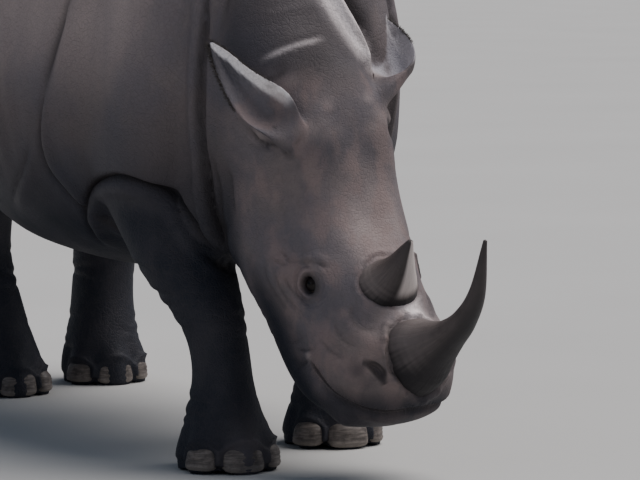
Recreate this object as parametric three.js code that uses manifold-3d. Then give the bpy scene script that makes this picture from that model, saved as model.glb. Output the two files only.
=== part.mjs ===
// A southern white rhinoceros, life size, grazing with one fore foot set forward.
// Millimetres. +X is where the trunk points, +Y the animal's left, +Z up, and the ground is z = 0.
import * as THREE from "three";
import { mergeVertices } from "three/addons/utils/BufferGeometryUtils.js";
import Module from "manifold-3d";

const wasm = await Module();
wasm.setup();

// ---- Driving dimensions ----
const gap = 0.5; // added to a piece's neighbour before it is cut away, which leaves touching pieces just clear
const hindFeetX = -1440; // neutral fore feet stand at x = 0
const foreFootY = 215;
const hindFootY = 180;
const foreStep = 300; // how far the right fore foot is set ahead of neutral
const headLength = 840; // poll to upper lip
const pollAt = new THREE.Vector3(553, -18, 989);
const headPitch = 63; // degrees below level
const headYaw = 21; // degrees to the animal's left
const headRoll = 11; // degrees, right side lower
const eyeRadius = 19;
const nailAngles = [-56, 0, 56]; // degrees from straight ahead, so three on each foot

// ---- Curves through a few values ----

// A smooth function of x through (x, value) pairs, with each pair's slope taken from its neighbours.
function outline(...pairs) {
  const slope = (i) => {
    const a = pairs[Math.max(i - 1, 0)];
    const b = pairs[Math.min(i + 1, pairs.length - 1)];
    return (b[1] - a[1]) / (b[0] - a[0]);
  };
  return (x) => {
    let i = 0;
    while (i < pairs.length - 2 && x > pairs[i + 1][0]) i++;
    const [x0, y0] = pairs[i];
    const [x1, y1] = pairs[i + 1];
    const step = x1 - x0;
    const t = THREE.MathUtils.clamp((x - x0) / step, 0, 1);
    const rise = t * t * (3 - 2 * t);
    const leave = t * (1 - t) * (1 - t) * step * slope(i);
    const arrive = t * t * (t - 1) * step * slope(i + 1);
    return y0 + (y1 - y0) * rise + leave + arrive;
  };
}

// Rows of numbers blended in the same smooth way: at(t) with t from 0 at the first row to 1 at the last.
function blend(rows) {
  const columns = rows[0].map((_, c) => outline(...rows.map((row, i) => [i / (rows.length - 1), row[c]])));
  return (t) => columns.map((column) => column(t));
}

// ---- Surfaces ----

// A closed surface: ring(t) describes the section at t from 0 to 1 and both ends are closed at their centres.
// A section has a centre, a side and an up direction, half sizes to the side, up and down, and a squareness,
// which is 2 on an ellipse. The angle runs once round it.
function loft(ring, around, along, grow = 0) {
  const geometry = new THREE.SphereGeometry(1, around, along);
  const { position, uv } = geometry.attributes;
  const point = new THREE.Vector3();
  for (let i = 0; i < position.count; i++) {
    const row = Math.round((1 - uv.getY(i)) * along);
    const pole = row === 0 || row === along;
    const t = THREE.MathUtils.clamp((row - 1) / (along - 2), 0, 1);
    const section = ring(t);
    point.copy(section.centre);
    if (pole) {
      const end = row === 0 ? section.startCap : section.endCap;
      if (end) point.addScaledVector(end, 1 + grow / end.length());
    } else {
      const angle = 2 * Math.PI * uv.getX(i);
      const round = 2 / (section.square || 2);
      const across = Math.cos(angle);
      const rise = Math.sin(angle);
      const half = rise > 0 ? section.top : section.bottom;
      const blunt = (v) => Math.sign(v) * Math.abs(v) ** round;
      point.addScaledVector(section.side, (section.width + grow) * blunt(across));
      point.addScaledVector(section.up, (half + grow) * blunt(rise));
    }
    position.setXYZ(i, point.x, point.y, point.z);
  }
  return solid(geometry);
}

// A three.js geometry as a solid that can be joined and cut, its faces turned outward if they aren't yet.
function solid(geometry) {
  geometry.deleteAttribute("normal");
  geometry.deleteAttribute("uv");
  const merged = mergeVertices(geometry, 1e-3);
  const corners = merged.index.array;
  const made = (index) =>
    new wasm.Manifold(
      new wasm.Mesh({
        numProp: 3,
        vertProperties: merged.attributes.position.array,
        triVerts: new Uint32Array(index),
      }),
    );
  const first = made(corners);
  return first.volume() > 0 ? first : made(corners.toReversed());
}

const join = (...solids) => solids.reduce((all, one) => all.add(one));
const largest = (made) => made.decompose().reduce((a, b) => (a.volume() > b.volume() ? a : b));
const sideways = new THREE.Vector3(0, 1, 0);
const upward = new THREE.Vector3(0, 0, 1);
const forward = new THREE.Vector3(1, 0, 0);

// ---- Frame of the head: x from the poll to the lips, y to the left, z out of the forehead ----
function headFrame() {
  const heading = new THREE.Vector3(1, 0, 0).applyAxisAngle(upward, THREE.MathUtils.degToRad(headYaw));
  const left = new THREE.Vector3().crossVectors(upward, heading);
  const along = heading.clone().applyAxisAngle(left, THREE.MathUtils.degToRad(headPitch));
  left.applyAxisAngle(along, THREE.MathUtils.degToRad(headRoll));
  const out = new THREE.Vector3().crossVectors(along, left);
  return new THREE.Matrix4().makeBasis(along, left, out).setPosition(pollAt);
}
const headPlace = headFrame();
const inHead = (made) => made.transform(headPlace.elements);

// ---- Trunk and neck ----

// From the rump to inside the head: back line x, y, z, belly line x, y, z, half width, how far up the widest
// level is, and squareness.
const bodyRows = blend([
  [-1800, 0, 1300, -1800, 0, 1070, 90, 0.5, 2],
  [-1730, 0, 1415, -1730, 0, 910, 250, 0.5, 2.1],
  [-1580, 0, 1530, -1590, 0, 770, 335, 0.5, 2.2],
  [-1380, 0, 1600, -1400, 0, 665, 390, 0.5, 2.2],
  [-1150, 0, 1600, -1150, 0, 560, 445, 0.47, 2.3],
  [-900, 0, 1572, -900, 0, 460, 480, 0.43, 2.4],
  [-640, 0, 1560, -640, 0, 425, 495, 0.41, 2.45],
  [-380, 0, 1580, -380, 0, 428, 470, 0.41, 2.45],
  [-140, 0, 1622, -140, 0, 465, 415, 0.42, 2.35],
  [50, 0, 1632, 40, 0, 492, 360, 0.44, 2.2],
  [200, 0, 1545, 140, 0, 510, 320, 0.45, 2.2],
  [330, 0, 1370, 215, -10, 528, 285, 0.47, 2.2],
  [440, -5, 1190, 260, -30, 560, 255, 0.5, 2.2],
  [520, -8, 1045, 305, -45, 610, 222, 0.5, 2.2],
  [560, 6, 880, 350, -30, 655, 145, 0.5, 2.2],
]);
const neckStart = 0.68; // where along the rows the body starts to turn with the head
function bodyRing(t) {
  const [bx, by, bz, vx, vy, vz, width, level, square] = bodyRows(t);
  const back = new THREE.Vector3(bx, by, bz);
  const belly = new THREE.Vector3(vx, vy, vz);
  const up = back.clone().sub(belly);
  const tall = up.length();
  const turn = THREE.MathUtils.smoothstep(t, neckStart, 1) * THREE.MathUtils.degToRad(headYaw);
  const side = sideways.clone().applyAxisAngle(upward, turn);
  up.normalize();
  return {
    centre: belly.clone().addScaledVector(up, tall * level),
    side,
    up,
    width,
    top: tall * (1 - level),
    bottom: tall * level,
    square,
    startCap: new THREE.Vector3(-12, 0, 0),
    endCap: new THREE.Vector3(10, 0, -10),
  };
}

// A rounded mass of muscle: a blunt egg with its own centre and half sizes, leaning forward at the top by lean
// degrees and inward by tilt degrees.
const muscleSquareness = 2.6;
function muscle({ centre, sizes, lean = 0, tilt = 0 }, side, grow) {
  const geometry = new THREE.SphereGeometry(1, 14, 10);
  const { position } = geometry.attributes;
  for (let i = 0; i < position.count; i++) {
    const ray = [position.getX(i), position.getY(i), position.getZ(i)];
    const norm = ray.reduce((sum, v) => sum + Math.abs(v) ** muscleSquareness, 0) ** (1 / muscleSquareness);
    position.setXYZ(i, ...ray.map((v) => v / norm));
  }
  geometry.scale(sizes[0] + grow, sizes[1] + grow, sizes[2] + grow);
  geometry.rotateX(THREE.MathUtils.degToRad(side * tilt));
  geometry.rotateY(THREE.MathUtils.degToRad(lean));
  geometry.translate(centre[0], side * centre[1], centre[2]);
  return solid(geometry);
}
const rightShoulder = { centre: [25, 232, 985], sizes: [250, 165, 395], lean: 8, tilt: 6 };
const leftShoulder = { centre: [-10, 212, 985], sizes: [225, 150, 385], lean: 2, tilt: 6 };
const rightBreast = { centre: [240, 120, 700], sizes: [140, 150, 195] };
const leftBreast = { centre: [200, 110, 700], sizes: [140, 140, 190] };
const haunch = { centre: [-1390, 232, 1030], sizes: [310, 182, 410], lean: -12, tilt: 7 };

function body(grow = 0) {
  return join(
    loft(bodyRing, 26, 26, grow),
    muscle(rightShoulder, -1, grow),
    muscle(leftShoulder, 1, grow),
    muscle(rightBreast, -1, grow),
    muscle(leftBreast, 1, grow),
    muscle(haunch, -1, grow),
    muscle(haunch, 1, grow),
  );
}

// ---- Legs ----

// Rows of height, then half sizes to the front, back, outside and inside of the leg's centre line, and how far
// that line stands forward.
function legShape(top, rows) {
  const column = (c) => outline(...rows.map((row) => [row[0], row[c]]));
  return { top, front: column(1), back: column(2), outer: column(3), inner: column(4), centreX: column(5) };
}
const foreLeg = legShape(900, [
  [0, 128, 108, 112, 108, 0],
  [30, 138, 116, 122, 118, 0],
  [95, 120, 104, 106, 102, -1],
  [190, 90, 84, 78, 76, -1],
  [300, 80, 80, 72, 71, -2],
  [385, 98, 104, 90, 88, -5],
  [460, 124, 138, 114, 110, -8],
  [520, 138, 155, 122, 120, -10],
  [660, 160, 180, 105, 110, -14],
  [900, 110, 110, 40, 40, -20],
]);
const hindLeg = legShape(1000, [
  [0, 122, 104, 108, 104, 0],
  [30, 134, 112, 120, 114, -3],
  [95, 122, 106, 110, 106, -9],
  [190, 102, 97, 94, 90, -23],
  [300, 94, 94, 88, 84, -44],
  [430, 118, 114, 98, 92, -70],
  [550, 184, 134, 116, 104, -66],
  [730, 290, 190, 142, 114, 10],
  [1000, 330, 280, 130, 110, 60],
]);

// place(z) is the centre line: how far the leg at height z stands from x = 0, y = 0.
function leg(shape, place, side, grow = 0) {
  const ring = (t) => {
    const z = shape.top * (1 - t) ** 1.25;
    const [x, y] = place(z);
    const half = (shape.front(z) + shape.back(z)) / 2;
    const shift = (shape.front(z) - shape.back(z)) / 2;
    return {
      centre: new THREE.Vector3(x + shape.centreX(z) + shift, y, z),
      side: forward,
      up: new THREE.Vector3(0, side, 0),
      width: half,
      top: shape.outer(z),
      bottom: shape.inner(z),
      square: 2.15,
    };
  };
  return loft(ring, 14, 15, grow);
}
// From the leg's top to its foot, the centre line goes from one place to the other: all the way by 180 mm on
// the striding leg, and evenly on the others.
const stride = outline([0, 1], [180, 1], [340, 0.92], [490, 0.62], [640, 0.3], [860, 0]);
const standing = (top) => (z) => THREE.MathUtils.smoothstep(top - z, 0, top);
const between = (hip, foot, share) => (z) => hip.map((v, i) => v + (foot[i] - v) * share(z));
const hindHipX = hindFeetX + 60;
const legs = {
  leg_fore_right: {
    shape: foreLeg,
    side: -1,
    place: between([-97, -290], [foreStep, 15 - foreFootY], stride),
  },
  leg_fore_left: {
    shape: foreLeg,
    side: 1,
    place: between([-50, 240], [10, foreFootY], standing(820)),
  },
  leg_hind_right: {
    shape: hindLeg,
    side: -1,
    place: between([hindHipX, -255], [hindHipX + 90, 10 - hindFootY], standing(900)),
  },
  leg_hind_left: {
    shape: hindLeg,
    side: 1,
    place: between([hindHipX, 255], [hindHipX - 65, hindFootY], standing(900)),
  },
};

// ---- Head ----

// In shares of the head's length: forehead line x, z, jaw line x, z, half width, how far up the widest level
// is, and squareness.
const headRows = blend([
  [-0.04, -0.08, 0.1, -0.42, 0.12, 0.5, 2.2],
  [0.02, -0.01, 0.14, -0.49, 0.19, 0.5, 2.2],
  [0.12, -0.01, 0.2, -0.535, 0.236, 0.48, 2.2],
  [0.24, -0.05, 0.28, -0.56, 0.248, 0.45, 2.2],
  [0.36, -0.095, 0.37, -0.565, 0.25, 0.45, 2.2],
  [0.48, -0.12, 0.46, -0.56, 0.242, 0.45, 2.2],
  [0.58, -0.12, 0.55, -0.55, 0.222, 0.45, 2.2],
  [0.68, -0.115, 0.64, -0.535, 0.208, 0.42, 2.3],
  [0.78, -0.1, 0.73, -0.525, 0.198, 0.4, 2.4],
  [0.87, -0.1, 0.82, -0.5, 0.186, 0.4, 2.5],
  [0.94, -0.13, 0.885, -0.46, 0.16, 0.42, 2.6],
  [0.985, -0.19, 0.93, -0.425, 0.14, 0.4, 2.5],
  [1.0, -0.26, 0.955, -0.38, 0.1, 0.4, 2.3],
]);
function headRing(t) {
  const [topX, topZ, jawX, jawZ, width, level, square] = headRows(t);
  const crown = new THREE.Vector3(topX, 0, topZ).multiplyScalar(headLength);
  const jaw = new THREE.Vector3(jawX, 0, jawZ).multiplyScalar(headLength);
  const up = crown.clone().sub(jaw);
  const tall = up.length();
  up.normalize();
  return {
    centre: jaw.clone().addScaledVector(up, tall * level),
    side: sideways,
    up,
    width: width * headLength,
    top: tall * (1 - level),
    bottom: tall * level,
    square,
    startCap: new THREE.Vector3(-8, 0, 0),
    endCap: new THREE.Vector3(14, 0, 0),
  };
}
const head = (grow = 0) => inHead(loft(headRing, 22, 20, grow));

// ---- Horns ----

// A horn is a row of ellipses: centre along and out of the head, half length along the head, half width.
function horn(rows) {
  const at = blend(rows);
  const ring = (t) => {
    const [x, z, half, width] = at(t);
    const [nextX, nextZ] = at(Math.min(t + 0.02, 1));
    const [lastX, lastZ] = at(Math.max(t - 0.02, 0));
    const run = new THREE.Vector3(nextX - lastX, 0, nextZ - lastZ).normalize();
    return {
      centre: new THREE.Vector3(x, 0, z).multiplyScalar(headLength),
      side: sideways,
      up: new THREE.Vector3().crossVectors(run, sideways),
      width: width * headLength,
      top: half * headLength,
      bottom: half * headLength,
      endCap: run.clone().multiplyScalar(4),
      startCap: run.clone().multiplyScalar(-4),
    };
  };
  return inHead(loft(ring, 14, 13));
}
const frontHorn = horn([
  [0.85, -0.19, 0.115, 0.1],
  [0.856, -0.09, 0.107, 0.1],
  [0.86, -0.03, 0.081, 0.078],
  [0.862, 0.05, 0.053, 0.053],
  [0.85, 0.14, 0.038, 0.038],
  [0.803, 0.235, 0.025, 0.025],
  [0.695, 0.345, 0.007, 0.007],
]);
const rearHorn = horn([
  [0.634, -0.2, 0.1, 0.11],
  [0.631, -0.125, 0.085, 0.096],
  [0.624, -0.085, 0.067, 0.071],
  [0.609, -0.045, 0.047, 0.046],
  [0.588, -0.005, 0.029, 0.027],
  [0.568, 0.035, 0.01, 0.01],
]);

// ---- Eyes ----
const eyePlace = (side) => new THREE.Vector3(0.565, side * 0.172, -0.225).multiplyScalar(headLength);
function eye(side, grow = 0) {
  const geometry = new THREE.SphereGeometry(eyeRadius + grow, 10, 7);
  const { x, y, z } = eyePlace(side);
  geometry.translate(x, y, z);
  return inHead(solid(geometry));
}

// ---- Ears ----

// A cupped leaf. Along its length it has a width, a cup depth and a thickness; round it the angle runs out
// along the hollow face and back along the outer one. Its upper half may be narrower. Below the leaf it closes to a
// thick stalk that sinks into the head along the root direction. Each ear is turned on its own.
const ears = {
  ear_right: {
    base: [0.144, -0.216, -0.047],
    aim: [-2.413, -0.911, -0.419],
    open: [0.98, 0.07, 0.7],
    root: [0, 0.55, -0.83],
    broad: 1.04,
    upper: outline([-0.25, 1], [0.05, 1], [0.25, 0.86], [0.45, 0.62], [0.65, 0.52], [1, 0.7]),
  },
  ear_left: {
    base: [0.043, 0.213, -0.039],
    aim: [-2.35, 1.4, -1.57],
    open: [-0.09, -0.66, 0.93],
    root: [0.25, -0.75, -0.6],
    broad: 0.97,
    upper: outline([-0.25, 1], [1, 1]),
  },
};
const earLength = 255;
const stalkShare = 0.25;
const earWall = outline([-0.25, 26], [-0.1, 23], [0, 15], [0.12, 9], [0.3, 7.5], [1, 4.5]);
const earWidth = outline([-0.25, 34], [-0.1, 40], [0, 46], [0.2, 60], [0.4, 59], [0.6, 48], [0.8, 31], [0.93, 15], [1, 5]);
const earCup = outline([-0.25, 0], [-0.1, 0.15], [0, 0.5], [0.1, 0.85], [0.3, 0.85], [0.6, 0.6], [0.85, 0.35], [1, 0.2]);
const earDrop = outline([-0.25, 75], [-0.12, 36], [0, 9], [0.1, 0], [1, 0]);
function ear(shape) {
  const base = new THREE.Vector3(...shape.base).multiplyScalar(headLength);
  const aim = new THREE.Vector3(...shape.aim).normalize();
  const open = new THREE.Vector3(...shape.open);
  open.addScaledVector(aim, -open.dot(aim)).normalize();
  const across = new THREE.Vector3().crossVectors(aim, open);
  const root = new THREE.Vector3(...shape.root);
  const along = 15;
  const geometry = new THREE.SphereGeometry(1, 16, along);
  const { position, uv } = geometry.attributes;
  for (let i = 0; i < position.count; i++) {
    const row = Math.round((1 - uv.getY(i)) * along);
    const pole = row === 0 || row === along;
    const t = THREE.MathUtils.clamp((row - 1) / (along - 2), 0, 1) * (1 + stalkShare) - stalkShare;
    const turn = 2 * Math.PI * uv.getX(i);
    const edge = pole ? 0 : Math.cos(turn);
    const face = pole ? 0 : Math.sin(turn);
    const width = earWidth(t) * shape.broad * (edge > 0 ? shape.upper(t) : 1);
    const hollow = width * earCup(t) * (1 - edge * edge);
    const wall = earWall(t) * face;
    const point = base
      .clone()
      .addScaledVector(aim, earLength * t)
      .addScaledVector(across, width * edge)
      .addScaledVector(open, wall - hollow)
      .addScaledVector(root, earDrop(t));
    position.setXYZ(i, point.x, point.y, point.z);
  }
  return inHead(solid(geometry));
}

// ---- Tail ----
const tailRows = blend([
  [-1720, 0, 1330, 78, 80],
  [-1800, 0, 1275, 66, 62],
  [-1850, 4, 1150, 44, 44],
  [-1868, 8, 1000, 34, 36],
  [-1866, 12, 850, 26, 30],
  [-1856, 14, 730, 24, 34],
  [-1850, 16, 640, 26, 40],
  [-1850, 16, 560, 12, 20],
]);
function tail() {
  const ring = (t) => {
    const [x, y, z, half, width] = tailRows(t);
    const ahead = tailRows(Math.min(t + 0.03, 1));
    const behind = tailRows(Math.max(t - 0.03, 0));
    const run = new THREE.Vector3(ahead[0] - behind[0], ahead[1] - behind[1], ahead[2] - behind[2]).normalize();
    const up = new THREE.Vector3().crossVectors(run, sideways).normalize();
    return {
      centre: new THREE.Vector3(x, y, z),
      side: sideways,
      up,
      width,
      top: half,
      bottom: half,
      startCap: run.clone().multiplyScalar(-5),
      endCap: run.clone().multiplyScalar(8),
    };
  };
  return loft(ring, 10, 13);
}

// ---- Toenails ----
const nailHeight = 38; // of a nail's centre over the ground
const middleNail = { wide: 54, tall: 34, inset: 17 };
const sideNail = { wide: 42, tall: 30, inset: 9 };
const nailThickness = 20;
function nail([footX, footY], shape, angle, grow = 0) {
  const size = angle === 0 ? middleNail : sideNail;
  const ring = (t) => {
    const share = Math.sqrt(1 - 0.72 * (2 * t - 1) ** 2);
    return {
      centre: new THREE.Vector3((2 * t - 1) * (nailThickness + grow), 0, 0),
      side: sideways,
      up: upward,
      width: (size.wide + grow) * share,
      top: (size.tall + grow) * share,
      bottom: (size.tall + grow) * share,
      square: 2.6,
      startCap: new THREE.Vector3(-1, 0, 0),
      endCap: new THREE.Vector3(1, 0, 0),
    };
  };
  const half = (shape.front(nailHeight) + shape.back(nailHeight)) / 2;
  const middleX = footX + shape.centreX(nailHeight) + shape.front(nailHeight) - half;
  const reach = (angle === 0 ? half : shape.outer(nailHeight)) - size.inset;
  const place = new THREE.Matrix4()
    .makeTranslation(middleX, footY, nailHeight)
    .multiply(new THREE.Matrix4().makeRotationZ(THREE.MathUtils.degToRad(angle)))
    .multiply(new THREE.Matrix4().makeTranslation(reach, 0, 0));
  return loft(ring, 8, 5).transform(place.elements);
}

// ---- The model ----
const group = new THREE.Group();
const colours = { hide: 0x5d5755, horn: 0x3c332e, nail: 0x4a423c, eye: 0x120d0a };
function add(name, made, slot) {
  const mesh = largest(made).getMesh();
  const geometry = new THREE.BufferGeometry();
  geometry.setAttribute("position", new THREE.BufferAttribute(new Float32Array(mesh.vertProperties), 3));
  geometry.setIndex(new THREE.BufferAttribute(new Uint32Array(mesh.triVerts), 1));
  const roughness = slot === "eye" ? 0.15 : 0.9;
  const material = new THREE.MeshStandardMaterial({ color: colours[slot], roughness, metalness: 0 });
  material.name = slot;
  const node = new THREE.Mesh(geometry, material);
  node.name = name;
  group.add(node);
}

// Trunk and neck part at a thin upright cut in front of the shoulders, and the head takes its room from both.
const neckCut = { x: 215, z: 1050, lean: 4, width: 0.4, reach: 2400 };
const blade = new THREE.BoxGeometry(neckCut.width, neckCut.reach, neckCut.reach);
blade.rotateY(THREE.MathUtils.degToRad(neckCut.lean));
blade.translate(neckCut.x, 0, neckCut.z);
const grownBody = body(gap);
const grownHead = head(gap);
const [trunk, neck] = body()
  .subtract(solid(blade))
  .decompose()
  .sort((a, b) => b.volume() - a.volume());
add("trunk", trunk.subtract(grownHead), "hide");
add("neck", neck.subtract(grownHead), "hide");
add("head", head().subtract(eye(-1, gap)).subtract(eye(1, gap)), "hide");
add("horn_front", frontHorn.subtract(grownHead), "horn");
add("horn_rear", rearHorn.subtract(grownHead).subtract(frontHorn), "horn");
add("eye_right", eye(-1), "eye");
add("eye_left", eye(1), "eye");
for (const [name, shape] of Object.entries(ears)) {
  add(name, ear(shape).subtract(grownHead).subtract(grownBody), "hide");
}
for (const [name, { shape, place, side }] of Object.entries(legs)) {
  let limb = leg(shape, place, side).subtract(grownBody);
  nailAngles.forEach((angle, i) => {
    limb = limb.subtract(nail(place(0), shape, angle, gap));
    add(`${name.replace("leg", "nail")}_${i + 1}`, nail(place(0), shape, angle), "nail");
  });
  add(name, limb, "hide");
}
add("tail", tail().subtract(grownBody), "hide");

// The origin goes to the middle of the model's box, on the ground.
const box = new THREE.Box3().setFromObject(group);
const middle = box.getCenter(new THREE.Vector3());
for (const node of group.children) node.position.set(-middle.x, -middle.y, -box.min.z);

export default group;
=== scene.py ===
# %% [markdown]
# # A southern white rhinoceros, grazing
# A life-size still model. Trunk, neck, head, legs, ears and tail are one skin here, while the horns, eyes
# and toenails are pieces of their own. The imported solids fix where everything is, and all lengths are
# metres.

# %% Load the frame
import bpy
import bmesh
import numpy as np
from mathutils import Matrix, Vector
from mathutils.bvhtree import BVHTree


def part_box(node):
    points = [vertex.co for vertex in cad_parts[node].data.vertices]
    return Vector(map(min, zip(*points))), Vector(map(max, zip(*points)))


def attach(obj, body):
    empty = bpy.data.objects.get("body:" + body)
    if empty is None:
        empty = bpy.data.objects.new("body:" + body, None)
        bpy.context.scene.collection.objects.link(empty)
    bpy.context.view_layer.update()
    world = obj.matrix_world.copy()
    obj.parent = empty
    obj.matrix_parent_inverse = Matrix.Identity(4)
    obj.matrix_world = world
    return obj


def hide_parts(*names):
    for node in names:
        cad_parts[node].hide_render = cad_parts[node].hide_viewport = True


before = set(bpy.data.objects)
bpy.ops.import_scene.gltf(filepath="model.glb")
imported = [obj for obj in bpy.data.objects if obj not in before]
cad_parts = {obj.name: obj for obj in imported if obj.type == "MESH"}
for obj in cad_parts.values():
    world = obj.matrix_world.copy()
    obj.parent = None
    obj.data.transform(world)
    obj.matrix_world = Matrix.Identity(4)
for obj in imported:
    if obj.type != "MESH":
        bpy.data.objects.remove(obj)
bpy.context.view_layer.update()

# %% [markdown]
# ## Curves through a few values
# Every form below is drawn from short tables of sizes, the way a sculptor measures an animal at stations. A
# table could be joined with straight lines, which shows as facets, or with splines. A cubic whose slopes
# come from the neighbouring rows passes through each size and never wanders far from it.


# %% Smooth curves
def curve(xs, ys):
    """A smooth function through the points (x, y): a cubic between neighbours, with each point's slope
    taken from the points on either side of it. y may be a row of several values."""
    xs, ys = np.asarray(xs, float), np.asarray(ys, float)
    index = np.arange(len(xs))
    before, after = np.maximum(index - 1, 0), np.minimum(index + 1, len(xs) - 1)
    wide = (slice(None),) + (None,) * (ys.ndim - 1)
    slopes = (ys[after] - ys[before]) / (xs[after] - xs[before])[wide]

    def at(x):
        x = np.clip(np.asarray(x, float), xs[0], xs[-1])
        i = np.clip(np.searchsorted(xs, x, side="right") - 1, 0, len(xs) - 2)
        step = xs[i + 1] - xs[i]
        t = (x - xs[i]) / step
        if ys.ndim > 1:
            t, step = t[..., None], step[..., None]
        rise = ys[i] + (ys[i + 1] - ys[i]) * t * t * (3 - 2 * t)
        return rise + t * (1 - t) ** 2 * step * slopes[i] + t * t * (t - 1) * step * slopes[i + 1]

    return at


def stations(rows):
    """A table's rows blended smoothly: t runs from 0 at the first row to 1 at the last."""
    return curve(np.linspace(0, 1, len(rows)), rows)


def ease(x, start, end):
    """0 before start, 1 after end, and an S-shaped rise between them."""
    t = np.clip((x - start) / (end - start), 0, 1)
    return t * t * (3 - 2 * t)


def bell(x, centre, width):
    """A bell over x: 1 at the centre, and exp(-1) at a width away from it."""
    return np.exp(-(((x - centre) / width) ** 2))


def unit(v):
    """v scaled to length 1, for one vector or an array of them."""
    return v / np.linalg.norm(v, axis=-1, keepdims=True)


# %% [markdown]
# ## Closed forms from grids
# A limb or a trunk is a row of rings, each a blunt ellipse, closed at both ends by a point. The rings are
# worked out as whole arrays. Many such forms are later melted into one skin, so they only need to be closed
# and to reach well into each other.


# %% Grids to meshes
def closed_grid(rings, start, end):
    """(vertices, faces) of rings (n, m, 3) joined in order, with a fan to the point start and one to end.
    The faces are turned so that the enclosed volume is positive."""
    n, m = rings.shape[:2]
    vertices = np.vstack([rings.reshape(-1, 3), start, end])
    i, j = np.meshgrid(np.arange(n - 1), np.arange(m), indexing="ij")
    k = (j + 1) % m
    quads = np.stack([i * m + j, i * m + k, (i + 1) * m + k, (i + 1) * m + j], -1).reshape(-1, 4)
    around = np.arange(m)
    ahead = (around + 1) % m
    first = np.stack([around, np.full(m, n * m), ahead], -1)
    last = np.stack([around + (n - 1) * m, ahead + (n - 1) * m, np.full(m, n * m + 1)], -1)
    triangles = np.vstack([quads[:, [0, 1, 2]], quads[:, [0, 2, 3]], first, last])
    a, b, c = (vertices[triangles[:, s]] for s in range(3))
    faces = quads.tolist() + first.tolist() + last.tolist()
    if np.einsum("ij,ij->", a, np.cross(b, c)) < 0:
        faces = [face[::-1] for face in faces]
    return vertices, faces


def tube(centre, side, up, width, top, bottom, square=2.0, around=96, cap=0.0):
    """A closed tube of blunt ellipses: centre + side * width * c + up * (top or bottom) * s, where c and s
    are the cosine and sine of the angle round it, raised to 2 / squareness with their signs kept. Its ends
    are points that stand out by cap."""
    angle = np.linspace(0, 2 * np.pi, around, endpoint=False)
    power = (2 / np.broadcast_to(square, width.shape))[:, None]
    across, rise = (np.sign(v) * np.abs(v) ** power for v in (np.cos(angle)[None], np.sin(angle)[None]))
    half = np.where(rise > 0, top[:, None], bottom[:, None])
    sideward = side[:, None] * (width[:, None] * across)[..., None]
    rings = centre[:, None] + sideward + up[:, None] * (half * rise)[..., None]
    run = unit(np.stack([centre[0] - centre[1], centre[-1] - centre[-2]]))
    return closed_grid(rings, centre[0] + cap * run[0], centre[-1] + cap * run[1])


def turned(points, axis, degrees):
    """points turned about one of the axes 0, 1 or 2 by the right-hand rule."""
    c, s = np.cos(np.radians(degrees)), np.sin(np.radians(degrees))
    a, b = (axis + 1) % 3, (axis + 2) % 3
    out = points.copy()
    out[..., a] = points[..., a] * c - points[..., b] * s
    out[..., b] = points[..., a] * s + points[..., b] * c
    return out


def mesh_object(name, vertices, faces, smooth=True):
    """A new object at the origin with this mesh."""
    mesh = bpy.data.meshes.new(name)
    corners = faces if isinstance(faces, list) else faces.tolist()
    mesh.from_pydata(np.asarray(vertices).tolist(), [], corners)
    mesh.polygons.foreach_set("use_smooth", np.full(len(mesh.polygons), smooth))
    made = bpy.data.objects.new(name, mesh)
    bpy.context.scene.collection.objects.link(made)
    return made


def evaluated(made):
    """A new mesh with the object's modifiers applied."""
    return bpy.data.meshes.new_from_object(made.evaluated_get(bpy.context.evaluated_depsgraph_get()))


def keep_mark(made, name, values):
    """Stores a number at each vertex under this name, for the paint to read."""
    stored = made.data.attributes.new(name, "FLOAT", "POINT")
    stored.data.foreach_set("value", values.astype(np.float32))


# %% [markdown]
# ## Where the head is
# The head hangs steeply to graze, turned to the animal's left and tipped a little. Its own axes run from
# the poll to the lips, to its left, and out of the forehead, and its sizes are shares of its length,
# because that is how breeders and zoologists compare heads. The right eye's solid tells how far the packed
# model is shifted.

# %% Axes of the head
HEAD_LENGTH = 0.84
POLL = np.array([0.553, -0.018, 0.989])
PITCH, YAW, ROLL = 63, 21, 11
heading = turned(np.array([1.0, 0, 0]), 2, YAW)
level = np.cross([0, 0, 1], heading)


def spun(v, axis, degrees):
    """v turned about any unit axis: its part along the axis stays, and the rest goes round."""
    angle = np.radians(degrees)
    return v * np.cos(angle) + np.cross(axis, v) * np.sin(angle) + axis * (axis @ v) * (1 - np.cos(angle))


along = spun(heading, level, PITCH)
to_left = spun(level, along, ROLL)
outward = np.cross(along, to_left)
HEAD_AXES = np.stack([along, to_left, outward])
EYE = np.array([0.565, 0.172, -0.225])
EYE_RADIUS = 0.019
eye_low, eye_high = (np.array(corner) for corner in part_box("eye_right"))
SHIFT = (eye_low + eye_high) / 2 - (POLL + HEAD_LENGTH * (EYE * [1, -1, 1]) @ HEAD_AXES)
print("shift from the working frame", SHIFT.round(4))


def from_head(shares):
    """Shares of the head's length, in its own axes, as points of the working frame."""
    return POLL + HEAD_LENGTH * np.asarray(shares) @ HEAD_AXES


def to_head(points):
    """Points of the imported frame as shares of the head's length, in its own axes."""
    return (points - SHIFT - POLL) @ HEAD_AXES.T / HEAD_LENGTH


# %% [markdown]
# ## Trunk and neck
# A white rhinoceros has a long barrel, a belly that hangs lowest behind the elbows, a hump in front of the
# withers and a deep neck. One tube from rump to poll gives all of that: each row holds the back line, the
# belly line, half the width, how far up the widest level is, and how square the section is.

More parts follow.
